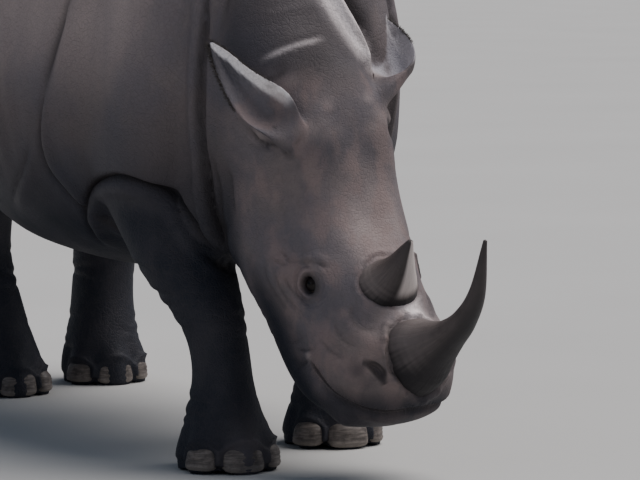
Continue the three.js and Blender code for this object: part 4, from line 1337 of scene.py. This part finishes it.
# %% Sticks
def bristles(name, roots, ways, lengths, radius, unrolled):
    """At s along a stick its middle line is root + way * length * s, less a sag of a fifth of length * s
    squared, and its radius shrinks with the square root of 1 - s."""
    s = np.array([0.0, 0.35, 0.7, 0.92])
    reach = lengths[:, None] * s
    sag = np.array([0, 0, -0.2]) * (reach * s)[..., None]
    middle = roots[:, None] + ways[:, None] * reach[..., None] + sag
    side = unit(np.cross(ways, [0.3, 0.2, 1.0]))
    angle = 2 * np.pi * np.arange(3) / 3
    spokes = np.cos(angle)[:, None] * side[:, None] + np.sin(angle)[:, None] * np.cross(ways, side)[:, None]
    rings = middle[:, :, None] + spokes[:, None] * (radius * np.sqrt(1 - s))[:, None, None]
    tips = roots + ways * lengths[:, None] + np.array([0, 0, -0.2]) * lengths[:, None]
    vertices = np.concatenate([rings.reshape(len(roots), 12, 3), tips[:, None]], 1)
    one = [[2, 1, 0]] + [[9 + i, 9 + (i + 1) % 3, 12] for i in range(3)]
    for r in (0, 3, 6):
        for i, j in ((0, 1), (1, 2), (2, 0)):
            one += [[r + i, r + j, r + 3 + j], [r + i, r + 3 + j, r + 3 + i]]
    faces = (np.array(one)[None] + 13 * np.arange(len(roots))[:, None, None]).reshape(-1, 3)
    made = mesh_object(name, vertices.reshape(-1, 3), faces.tolist())
    corner = np.stack([np.append(np.tile([-0.33, 0.0, 0.33], 4), 0), np.append(np.repeat(s, 3), 1) - 0.5], 1)
    places = (unrolled[:, None] + 0.003 * corner[None]).reshape(-1, 2)
    bake = made.data.uv_layers.new(name="OFBake")
    bake.data.foreach_set("uv", places[faces.ravel()].ravel().astype(np.float32))
    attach(made, "root")
    return made


# %% Fringes of the ears
def fringe(name, seed, count=1100):
    """Roots along both rims from a third of the way up, pointing outward and more and more towards the
    tip."""
    dice = np.random.default_rng(seed)
    t, edge = dice.uniform(0.30, 1.0, count) ** 0.8, dice.choice([-1.0, 1.0], count)
    base, axes = ear_axes(name)
    reach = EAR_BROAD[name] * ear_width(t) * np.where(edge > 0, ear_upper[name](t), 1.0) - 0.0015
    lift = np.where(edge > 0, 0.08, -0.20) * reach + dice.uniform(-0.7, 0.7, count) * ear_wall(t)
    roots = base + np.stack([EAR_LENGTH * (t - 0.006), edge * reach, lift], 1) @ axes + SHIFT
    straight = np.stack([0.2 + 1.0 * t, edge * (1.1 - 0.8 * t), 0.1 + 0 * t], 1)
    ways = unit(straight + dice.normal(0, 0.22, (count, 3)))
    lengths = (0.007 + 0.013 * t**3) * dice.uniform(0.6, 1.3, count)
    unrolled = np.stack([0.25 + 0.2 * edge, 0.05 + 0.9 * t], 1)
    return bristles(name.replace("ear", "fringe"), roots, ways @ axes, lengths, 0.0005, unrolled)


hairs = [fringe("ear_left", 11), fringe("ear_right", 12)]

# %% Tassel of the tail
dice = np.random.default_rng(13)
t = dice.uniform(0.70, 0.93, 1500)
rows = stations(TAIL)(t) / 1000
edge, front = dice.choice([-1.0, 1.0], len(t)), dice.uniform(-0.8, 0.8, len(t))
aside = 0.92 * rows[:, 4] * edge * np.sqrt(1 - front**2)
roots = rows[:, :3] + np.stack([0.9 * rows[:, 3] * front, aside, 0 * t], 1)
ways = unit(np.stack([0.15 * front, 0.20 * edge, -1.0 + 0 * t], 1) + dice.normal(0, 0.10, (len(t), 3)))
unrolled = np.stack([0.5 + 0.2 * edge + 0.1 * front, 0.05 + 0.9 * t], 1)
hairs.append(bristles("tassel", roots + SHIFT, ways, dice.uniform(0.045, 0.075, len(t)), 0.0009, unrolled))
print("bristles:", [len(piece.data.polygons) for piece in hairs])

# %% [markdown]
# ## Horns
# A rhinoceros's horn has no bone: it is a bundle of hair-like fibres pressed together. It is ragged where
# it grows out of the skin, ridged along its lower part and rubbed smooth and dark towards the tip. One tube
# along the horn's curved middle line gives the form, and fine waves round it, strongest at the base, give
# the fibres.

# %% Horn rows, in shares of the head: place along it, place out of it, half depth and half width
FRONT_HORN = [
    [0.850, -0.19, 0.112, 0.096],
    [0.855, -0.09, 0.101, 0.091],
    [0.858, -0.03, 0.075, 0.073],
    [0.859, 0.05, 0.048, 0.050],
    [0.847, 0.14, 0.034, 0.035],
    [0.803, 0.235, 0.023, 0.023],
    [0.695, 0.345, 0.0055, 0.0055],
]
REAR_HORN = [
    [0.634, -0.20, 0.094, 0.106],
    [0.631, -0.125, 0.081, 0.093],
    [0.624, -0.085, 0.063, 0.068],
    [0.609, -0.045, 0.044, 0.043],
    [0.588, -0.005, 0.026, 0.024],
    [0.568, 0.035, 0.008, 0.008],
]


def horn(name, rows, seed):
    """A tube along the middle line, whose radius is scaled by 1 plus fibre waves: sines of many turns round
    the horn that drift a little along it and die away towards the tip, and growth rings that fade
    upward."""
    t = np.linspace(0, 1, 170)
    row = stations(rows)(t)
    centre = np.stack([row[:, 0], 0 * t, row[:, 1]], 1)
    run = unit(np.gradient(centre, axis=0))
    side = np.tile([0, 1.0, 0], (len(t), 1))
    up = np.cross(run, side)
    around = 260
    vertices, faces = tube(centre, side, up, row[:, 3], row[:, 2], row[:, 2], 2.1, around, 0.004)
    n = len(t) * around
    height = np.repeat(t, around)
    angle = np.tile(np.linspace(0, 2 * np.pi, around, endpoint=False), len(t))
    dice = np.random.default_rng(seed)
    fibres = np.zeros(n)
    for turns in (7, 11, 17, 26, 38, 53):
        drift, phase, bend = dice.uniform(-1.5, 1.5), dice.uniform(0, 6.3), dice.uniform(1, 3)
        sway = 0.5 * np.sin(bend * height * 6 + phase)
        fibres += np.sin(turns * angle + drift * height * 3 + phase + sway) / turns**0.55
    lumps = np.sin(3 * angle + 2.1 * seed + 5 * height) + 0.7 * np.sin(5 * angle - 7 * height + seed)
    ringed = np.sin(height * 95 + 0.8 * np.sin(3 * angle)) * bell(height, 0, 0.45)
    rough = 0.009 * bell(height, 0, 0.38) + 0.002
    scale = 1 + rough * fibres + 0.014 * lumps * bell(height, 0, 0.4) + 0.004 * ringed
    middle = np.repeat(centre, around, axis=0)
    vertices[:n] = middle + (vertices[:n] - middle) * scale[:, None]
    placed = from_head(vertices) + SHIFT
    made = mesh_object(name, placed, faces)
    # A painted highlight down one face of the rear horn, from a little above its base.
    wear_and_highlight = ease(0.37 * np.cos(angle) - 0.93 * np.sin(angle), 0.66, 0.88) * ease(height, 0.3, 0.45)
    wear_and_highlight = wear_and_highlight * (name == "rear_horn")
    # Painted shade where the horn faces down and low on its base.
    downward = -normals_of(placed, np.array([face[:3] for face in faces]))[:n, 2]
    underside_shade = ease(downward + 0.4 * (1 - ease(height, 0.05, 0.4)), -0.2, 0.7)
    at_ends = {"height": [0, 1]}
    found = {"height": height, "fibre": angle / (2 * np.pi), "wear_and_highlight": wear_and_highlight, "underside_shade": underside_shade}
    for mark, values in found.items():
        keep_mark(made, mark, np.concatenate([values, at_ends.get(mark, [0, 0])]))
    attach(made, "root")
    return made


horn_front = horn("front_horn", FRONT_HORN, 3)
horn_rear = horn("rear_horn", REAR_HORN, 8)
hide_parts("horn_front")
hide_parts("horn_rear")
print("horns:", len(horn_front.data.polygons), len(horn_rear.data.polygons), "faces")

# %% [markdown]
# ## Eyes
# A dark brown eye shows little white. The eyeball is a sphere whose front swells a little into the clear
# cornea. How far each vertex is from the line of sight is kept as a number, and the paint draws the pupil
# and iris from it.


# %% Eyeballs
EYE_AROUND = 96
CORNEA = 0.05


def eyeball(name, node, side):
    """A sphere in polar steps from the line of sight: at angle a from it the radius is EYE_RADIUS * (1 +
    CORNEA * a bell of a). The swelling is the cornea."""
    low, high = (np.array(corner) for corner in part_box(node))
    centre = (low + high) / 2
    gaze = eye_frame(side, skin_tree)[1]
    a = np.linspace(0, np.pi, 66)[1:-1, None]
    b = np.linspace(0, 2 * np.pi, EYE_AROUND, endpoint=False)[None]
    radius = EYE_RADIUS * (1 + CORNEA * bell(a, 0, 0.55))
    flat = radius * np.sin(a)
    ball = np.stack([flat * np.cos(b), flat * np.sin(b), radius * np.cos(a) + 0 * b], -1)
    ends = np.array([[0, 0, EYE_RADIUS * (1 + CORNEA)], [0, 0, -EYE_RADIUS]])
    vertices, faces = closed_grid(centre + ball @ gaze, centre + ends[0] @ gaze, centre + ends[1] @ gaze)
    made = mesh_object(name, vertices, faces)
    keep_mark(made, "off_sight", np.concatenate([np.repeat(a[:, 0], EYE_AROUND), [0, np.pi]]))
    keep_mark(made, "spoke", np.concatenate([np.tile(b[0], len(a)), [0, 0]]))
    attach(made, "root")
    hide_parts(node)
    return made


skin_tree = tree_of(skin_points, skin_faces)
eyeballs = [eyeball("left_eyeball", "eye_left", 1), eyeball("right_eyeball", "eye_right", -1)]

# %% [markdown]
# ## Toenails
# Three broad nails stand round the front of each foot. Each is a thick shield of horn, domed outward, with
# growth lines that run across it and a worn lower edge.


# %% Nails
NAIL_THICK = 0.020


def nail(node):
    """A shield as wide, tall and thick as its solid: a blunt egg, squarer below than above and bowed round
    the foot. Its thickness is scaled by 1 plus small sines of the height, which are the growth lines, and
    grows downward."""
    low, high = (np.array(corner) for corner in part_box(node))
    middle = (low + high) / 2
    turn = NAIL_TURNS[node[-1]]
    wide, tall = MIDDLE_NAIL if turn == 0 else OUTER_NAIL
    rays = directions(50, 110)
    power = 2.15 + 3.0 * ease(-rays[..., 2:], -0.15, 0.7)
    rays /= (np.abs(rays) ** power).sum(-1, keepdims=True) ** (1 / power)
    growth = 1 + 0.030 * np.sin(rays[..., 2] * 17 + 1.5 * rays[..., 1] ** 2)
    growth = growth + 0.012 * np.sin(rays[..., 2] * 41)
    wear_and_highlight = 1 + 0.16 * ease(-rays[..., 2], 0.3, 1.0) - 0.45 * ease(rays[..., 2], 0.2, 1.0)
    shield = np.stack([
        NAIL_THICK * rays[..., 0] * growth * wear_and_highlight - 0.20 * wide * rays[..., 1] ** 2,
        wide * rays[..., 1],
        tall * rays[..., 2],
    ], -1)
    place = lambda p: turned(p, 2, turn) + middle
    ends = place(np.array([[0, 0, tall], [0, 0, -tall]]))
    vertices, faces = closed_grid(place(shield), ends[0], ends[1])
    vertices[:, 2] = np.maximum(vertices[:, 2], 0.001)
    name = "toenail" + node[4:]
    made = mesh_object(name, vertices, faces)
    keep_mark(made, "height", (vertices[:, 2] - low[2]) / (high[2] - low[2]))
    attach(made, "root")
    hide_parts(node)
    return made


nails = [nail(node) for node in sorted(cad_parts) if node.startswith("nail")]
print("toenails:", len(nails))

# %% [markdown]
# ## Paint by numbers
# A material is a net of nodes, and sums written out as nodes are hard to read. A wire stands for one value
# on its way through the net, and the signs + - * between wires add the Math nodes, so that a recipe reads
# like a sum.


# %% Wires and paints
class Wire:
    """One value that runs through a material. Signs between wires, or a wire and a number, add Math
    nodes."""

    def __init__(self, paint, socket):
        self.paint, self.socket = paint, socket

    def _sum(self, operation, a, b):
        return self.paint.node("ShaderNodeMath", {"operation": operation}, {0: a, 1: b})

    def __add__(self, other):
        return self._sum("ADD", self, other)

    def __radd__(self, other):
        return self._sum("ADD", other, self)

    def __sub__(self, other):
        return self._sum("SUBTRACT", self, other)

    def __rsub__(self, other):
        return self._sum("SUBTRACT", other, self)

    def __mul__(self, other):
        return self._sum("MULTIPLY", self, other)

    def __rmul__(self, other):
        return self._sum("MULTIPLY", other, self)

    def least(self, other):
        return self._sum("MINIMUM", self, other)

    def sine(self):
        return self._sum("SINE", self, 0.0)

    def ramp(self, start, end, low=0.0, high=1.0):
        """low before start, high after end, and a soft rise between."""
        settings = {"interpolation_type": "SMOOTHSTEP", "clamp": True}
        return self.paint.node("ShaderNodeMapRange", settings, {0: self, 1: start, 2: end, 3: low, 4: high})


class Paint:
    """A material under way. node() adds any node, from its type, its settings and its inputs."""

    def __init__(self, name, **constants):
        self.material = bpy.data.materials.new(name)
        self.material.use_nodes = True
        self.tree = self.material.node_tree
        self.shader = self.tree.nodes["Principled BSDF"]
        for socket, value in constants.items():
            self.shader.inputs[socket.replace("_", " ")].default_value = value

    def node(self, kind, settings=None, inputs=None, output=0):
        added = self.tree.nodes.new(kind)
        for name, value in (settings or {}).items():
            setattr(added, name, value)
        for key, value in (inputs or {}).items():
            if isinstance(value, Wire):
                self.tree.links.new(value.socket, added.inputs[key])
            else:
                added.inputs[key].default_value = value
        return Wire(self, added.outputs[output])

    def mark(self, name):
        return self.node("ShaderNodeAttribute", {"attribute_name": name}, None, "Fac")

    def place(self):
        return self.node("ShaderNodeTexCoord", None, None, "Object")

    def move(self, operation, a, b):
        return self.node("ShaderNodeVectorMath", {"operation": operation}, {0: a, 1: b})

    def noise(self, place, scale, detail=4.0, rough=0.55, output="Fac"):
        inputs = {"Vector": place, "Scale": scale, "Detail": detail, "Roughness": rough}
        return self.node("ShaderNodeTexNoise", None, inputs, output)

    def cells(self, place, scale):
        """How far each place is from the edge of its cell, in a pattern of irregular cells."""
        inputs = {"Vector": place, "Scale": scale, "Randomness": 1.0}
        return self.node("ShaderNodeTexVoronoi", {"feature": "DISTANCE_TO_EDGE"}, inputs, "Distance")

    def mix(self, share, a, b):
        settings = {"data_type": "RGBA", "blend_type": "MIX"}
        colour = lambda c: c if isinstance(c, Wire) else (*c, 1.0)
        return self.node("ShaderNodeMix", settings, {0: share, 6: colour(a), 7: colour(b)}, 2)

    def bumps(self, layers):
        """Bump nodes one after another: each layer is a height wire and the real height in metres of 1 of
        it."""
        normal = None
        for height, metres in layers:
            inputs = {"Height": height, "Distance": metres, "Strength": 1.0}
            if normal:
                inputs["Normal"] = normal
            normal = self.node("ShaderNodeBump", None, inputs)
        return normal

    def feed(self, **wires):
        for socket, wire in wires.items():
            self.tree.links.new(wire.socket, self.shader.inputs[socket.replace("_", " ")])
        return self.material


# %% [markdown]
# ## The hide
# Nearly hairless hide, grey-brown under dried mud. Painted shade makes it near black low down, under the head
# and in the creases; dust and painted top light pale the forehead and the back, and painted highlights run
# along the crest, between the horns and along the ears' upper rims. Its surface is a net of fine cracks
# between flat scales, larger on the body than on the face. Cell patterns give the cracks, bent by noise so
# that no cell looks drawn with a ruler.

# %% Hide paint
hide = Paint("hide", IOR=1.45, Specular_IOR_Level=0.2)
where = hide.place()
drift = hide.move("SUBTRACT", hide.noise(where, 22.0, 3.0, 0.6, "Color"), (0.5, 0.5, 0.5))
wander = hide.node("ShaderNodeVectorMath", {"operation": "SCALE"}, {0: drift, "Scale": 0.022})
bent = hide.move("ADD", where, wander)
broad = hide.noise(where, 2.6, 3.0, 0.55)
patches = hide.noise(hide.move("MULTIPLY", bent, (1.0, 1.0, 0.7)), 7.0, 5.0, 0.62)
speckle = hide.noise(bent, 60.0, 4.0, 0.65)
scales_big = hide.cells(bent, 42.0).ramp(0.0, 0.10)
scales_small = hide.cells(bent, 105.0).ramp(0.0, 0.14)
pores = hide.noise(bent, 260.0, 3.0, 0.6)
crease_shade, dust_and_light, painted_shade = hide.mark("crease_shade"), hide.mark("dust_and_light"), hide.mark("painted_shade")
rim, inner, face = hide.mark("rim"), hide.mark("inner"), hide.mark("face")
from_eye, from_lip, along_lip = hide.mark("from_eye"), hide.mark("from_lip"), hide.mark("along_lip")
crest_highlight = hide.mark("crest_highlight")
eye_rings = (from_eye * 700.0 + hide.noise(where, 30.0, 2.0, 0.5) * 9.0).sine()
eye_rings = eye_rings * from_eye.ramp(0.03, 0.11, 1.0, 0.0)
lip_place = hide.node("ShaderNodeCombineXYZ", None, {0: along_lip * 60.0, 1: from_lip * 22.0, 2: 0.0})
lip_lines = hide.noise(lip_place, 3.0, 4.0, 0.6) * from_lip.ramp(0.02, 0.075, 1.0, 0.0)
colour = hide.mix(broad.ramp(0.35, 0.65), (0.128, 0.116, 0.130), (0.178, 0.147, 0.146))
colour = hide.mix(patches.ramp(0.40, 0.68, 0.0, 0.55), colour, (0.215, 0.172, 0.158))
colour = hide.mix(speckle.ramp(0.45, 0.75, 0.0, 0.30), colour, (0.095, 0.083, 0.086))
# Painted shade: a near black, bluish colour low on the body and legs, under the head, on the lips and in the
# near ear's hollow.
colour = hide.mix((painted_shade * (0.72 + patches * 0.6)).least(1.0), colour, (0.017, 0.020, 0.029))
# Dust and painted top light: paler on the forehead, between the eyes and along the upper body.
colour = hide.mix((dust_and_light * (0.45 + patches * 0.9)).least(1.0), colour, (0.385, 0.315, 0.300))
# Painted highlight, near white, along the nape's ridge, behind the poll and between the horns.
colour = hide.mix((crest_highlight * (0.85 + patches * 0.8)).least(1.0), colour, (0.950, 0.860, 0.860))
# Painted light on the ears' hollows, strong on the far ear and slight on the near one.
colour = hide.mix(inner, colour, (0.440, 0.425, 0.465))
# Painted highlight along the ears' upper rims.
colour = hide.mix(rim * 0.97, colour, (0.930, 0.880, 0.880))
mottle = hide.noise(hide.move("MULTIPLY", bent, (1.0, 1.0, 0.6)), 16.0, 3.0, 0.5).ramp(0.46, 0.66)
colour = hide.mix(mottle * face * (1.0 - painted_shade) * 0.5, colour, (0.270, 0.195, 0.182))
cracks = (1.0 - scales_small) * 0.14 + (1.0 - scales_big) * 0.06
colour = hide.mix(cracks * (1.0 - face * 0.4), colour, (0.075, 0.064, 0.064))
# Painted shade in the creases, round the horns' feet, in the sunken lids, the nostrils and the mouth.
colour = hide.mix((crease_shade * 0.8).least(0.85), colour, (0.040, 0.035, 0.036))
roughness = 0.62 + patches * 0.14 + cracks * 0.10 - painted_shade * 0.10
relief_of_hide = [
    (broad + patches * 0.5, 0.004),
    (scales_big * (1.0 - face * 0.6), 0.0004),
    (scales_small, 0.0005),
    (speckle, 0.0014),
    (eye_rings, 0.0003),
    (lip_lines, 0.0035),
    (pores, 0.0004),
]
hide_paint = hide.feed(Base_Color=colour, Roughness=roughness, Normal=hide.bumps(relief_of_hide))
skin.data.materials.append(hide_paint)

# %% Horn paint
keratin = Paint("horn", IOR=1.54, Specular_IOR_Level=0.3)
where = keratin.place()
height, fibre = keratin.mark("height"), keratin.mark("fibre")
turn = fibre * 6.2832
round_horn = {0: turn.sine() * 9.0, 1: (turn + 1.5708).sine() * 9.0, 2: height * 3.0}
stripes = keratin.node("ShaderNodeCombineXYZ", None, round_horn)
streaks = keratin.noise(stripes, 2.2, 6.0, 0.7)
blotch = keratin.noise(where, 26.0, 4.0, 0.6)
colour = keratin.mix(streaks.ramp(0.3, 0.7), (0.080, 0.064, 0.060), (0.130, 0.104, 0.096))
colour = keratin.mix(blotch.ramp(0.48, 0.68, 0.0, 0.6), colour, (0.060, 0.047, 0.044))
colour = keratin.mix(height.ramp(0.45, 1.0, 0.0, 0.75), colour, (0.055, 0.045, 0.045))
colour = keratin.mix((1.0 - height.ramp(0.25, 0.60)) * 0.5, colour, (0.190, 0.160, 0.155))
# Painted shade, near black, on the horns' undersides and bases.
colour = keratin.mix(keratin.mark("underside_shade"), colour, (0.014, 0.012, 0.014))
# Painted highlight on one face of the rear horn.
colour = keratin.mix((keratin.mark("wear_and_highlight") * (0.5 + streaks)).least(1.0), colour, (0.60, 0.53, 0.50))
roughness = height.ramp(0.2, 0.9, 0.66, 0.36) + blotch * 0.12
fine_streaks = keratin.noise(stripes, 14.0, 2.0, 0.5)
normal = keratin.bumps([(streaks, 0.0012), (blotch, 0.0012), (fine_streaks, 0.0003)])
keratin_paint = keratin.feed(Base_Color=colour, Roughness=roughness, Normal=normal)
for piece in (horn_front, horn_rear):
    piece.data.materials.append(keratin_paint)

# %% Bristle paint
hair = Paint("bristle", IOR=1.5, Roughness=0.5, Specular_IOR_Level=0.4)
tint = hair.noise(hair.place(), 90.0, 2.0, 0.5)
hair_paint = hair.feed(Base_Color=hair.mix(tint, (0.022, 0.018, 0.017), (0.060, 0.048, 0.042)))
for piece in hairs:
    piece.data.materials.append(hair_paint)

# %% Nail paint
shield = Paint("toenail", IOR=1.5, Specular_IOR_Level=0.4)
where, height = shield.place(), shield.mark("height")
lines_of_growth = shield.noise(shield.move("MULTIPLY", where, (1.0, 1.0, 7.0)), 30.0, 4.0, 0.6)
grime = shield.noise(where, 45.0, 4.0, 0.6)
colour = shield.mix(lines_of_growth.ramp(0.35, 0.7), (0.095, 0.080, 0.074), (0.200, 0.170, 0.150))
colour = shield.mix(grime.ramp(0.45, 0.7, 0.0, 0.8), colour, (0.055, 0.046, 0.043))
colour = shield.mix(height.ramp(0.0, 0.35, 0.55, 0.0), colour, (0.26, 0.225, 0.195))
normal = shield.bumps([(lines_of_growth, 0.0018), (grime, 0.0010)])
nail_paint = shield.feed(Base_Color=colour, Roughness=grime.ramp(0.3, 0.7, 0.45, 0.75), Normal=normal)
for piece in nails:
    piece.data.materials.append(nail_paint)

# %% Eye paint
gaze = Paint("eye", IOR=1.34, Roughness=0.16, Specular_IOR_Level=0.22, Coat_Weight=0.12, Coat_Roughness=0.05)
off, spoke = gaze.mark("off_sight"), gaze.mark("spoke")
threads = (spoke * 44.0 + gaze.noise(gaze.place(), 300.0, 2.0, 0.5) * 6.0).sine() * 0.5 + 0.5
iris = gaze.mix(threads * 0.6, (0.006, 0.004, 0.004), (0.016, 0.010, 0.008))
colour = gaze.mix(off.ramp(0.24, 0.30), (0.002, 0.002, 0.002), iris)
colour = gaze.mix(off.ramp(0.66, 0.76), colour, (0.012, 0.010, 0.010))
colour = gaze.mix(off.ramp(1.05, 1.25), colour, (0.10, 0.075, 0.07))
eye_paint = gaze.feed(Base_Color=colour)
for piece in eyeballs:
    piece.data.materials.append(eye_paint)

# %% [markdown]
# ## Floor, light and camera
# A museum model on a plain pale floor. Soft light comes from above and behind on the far side, as under a
# bright cloudy sky, with a weaker cool fill on the near side. A long lens a good way off keeps the
# proportions true.

# %% Floor
ROUND = 128
FLOOR_DROP = 0.0005
angle = np.linspace(0, 2 * np.pi, ROUND, endpoint=False)
radii = np.array([3.0, 12.0, 40.0, 90.0])[:, None]
discs = np.stack([radii * np.cos(angle), radii * np.sin(angle), 0 * radii * angle], -1).reshape(-1, 3)
vertices = np.vstack([[[0, 0, 0]], discs])
vertices[:, 2] = -FLOOR_DROP
steps = [(i, (i + 1) % ROUND) for i in range(ROUND)]
floor_faces = [[0, 1 + i, 1 + j] for i, j in steps]
for r in range(len(radii) - 1):
    inner_disc, outer_disc = 1 + r * ROUND, 1 + (r + 1) * ROUND
    floor_faces += [[inner_disc + i, outer_disc + i, outer_disc + j, inner_disc + j] for i, j in steps]
floor = mesh_object("floor", vertices, floor_faces, False)
ground = Paint("floor", Roughness=0.85, Specular_IOR_Level=0.2)
tone = ground.noise(ground.place(), 0.8, 3.0, 0.5)
floor.data.materials.append(ground.feed(Base_Color=ground.mix(tone, (0.50, 0.50, 0.49), (0.56, 0.56, 0.55))))

# %% Light
world = bpy.data.worlds.new("sky")
bpy.context.scene.world = world
world.use_nodes = True
world.node_tree.nodes["Background"].inputs["Color"].default_value = (0.66, 0.78, 1.0, 1.0)
world.node_tree.nodes["Background"].inputs["Strength"].default_value = 0.23


def lamp(name, place, aim, size, power, colour):
    """A square soft lamp at place that faces aim."""
    light = bpy.data.lights.new(name, "AREA")
    light.size, light.energy, light.color = size, power, colour
    made = bpy.data.objects.new(name, light)
    made.matrix_world = facing(place, aim)
    bpy.context.scene.collection.objects.link(made)


def facing(place, aim):
    """The matrix of something at place whose -Z axis points to aim and whose Y axis is as upright as it can
    be."""
    way = Vector(aim) - Vector(place)
    return Matrix.Translation(place) @ way.to_track_quat("-Z", "Y").to_matrix().to_4x4()


sun = bpy.data.lights.new("bright cloud", "SUN")
sun.energy, sun.angle, sun.color = 3.6, np.radians(56), (1.0, 0.95, 0.92)
key = bpy.data.objects.new("bright cloud", sun)
key.matrix_world = facing((0.5, 4.0, 7.5), (0, 0, 0))
bpy.context.scene.collection.objects.link(key)
lamp("fill", (5.5, -8.5, 4.5), (0.5, 0, 0.9), 6.0, 60, (0.84, 0.91, 1.0))

# %% Camera: its tilt below level, its turn from the animal's front, its stand, and its lens in millimetres
TILT, TURN = np.radians(4.976), np.radians(25)
look = np.array([-np.cos(TURN) * np.cos(TILT), np.sin(TURN) * np.cos(TILT), -np.sin(TILT)])
stand = np.array([9.543, -4.059, 1.39])
camera_data = bpy.data.cameras.new("camera")
camera_data.lens, camera_data.sensor_width = 226.1, 36.0
camera_data.clip_end = 300.0
camera = bpy.data.objects.new("camera", camera_data)
camera.matrix_world = facing(stand, stand + look)
bpy.context.scene.collection.objects.link(camera)
bpy.context.scene.camera = camera
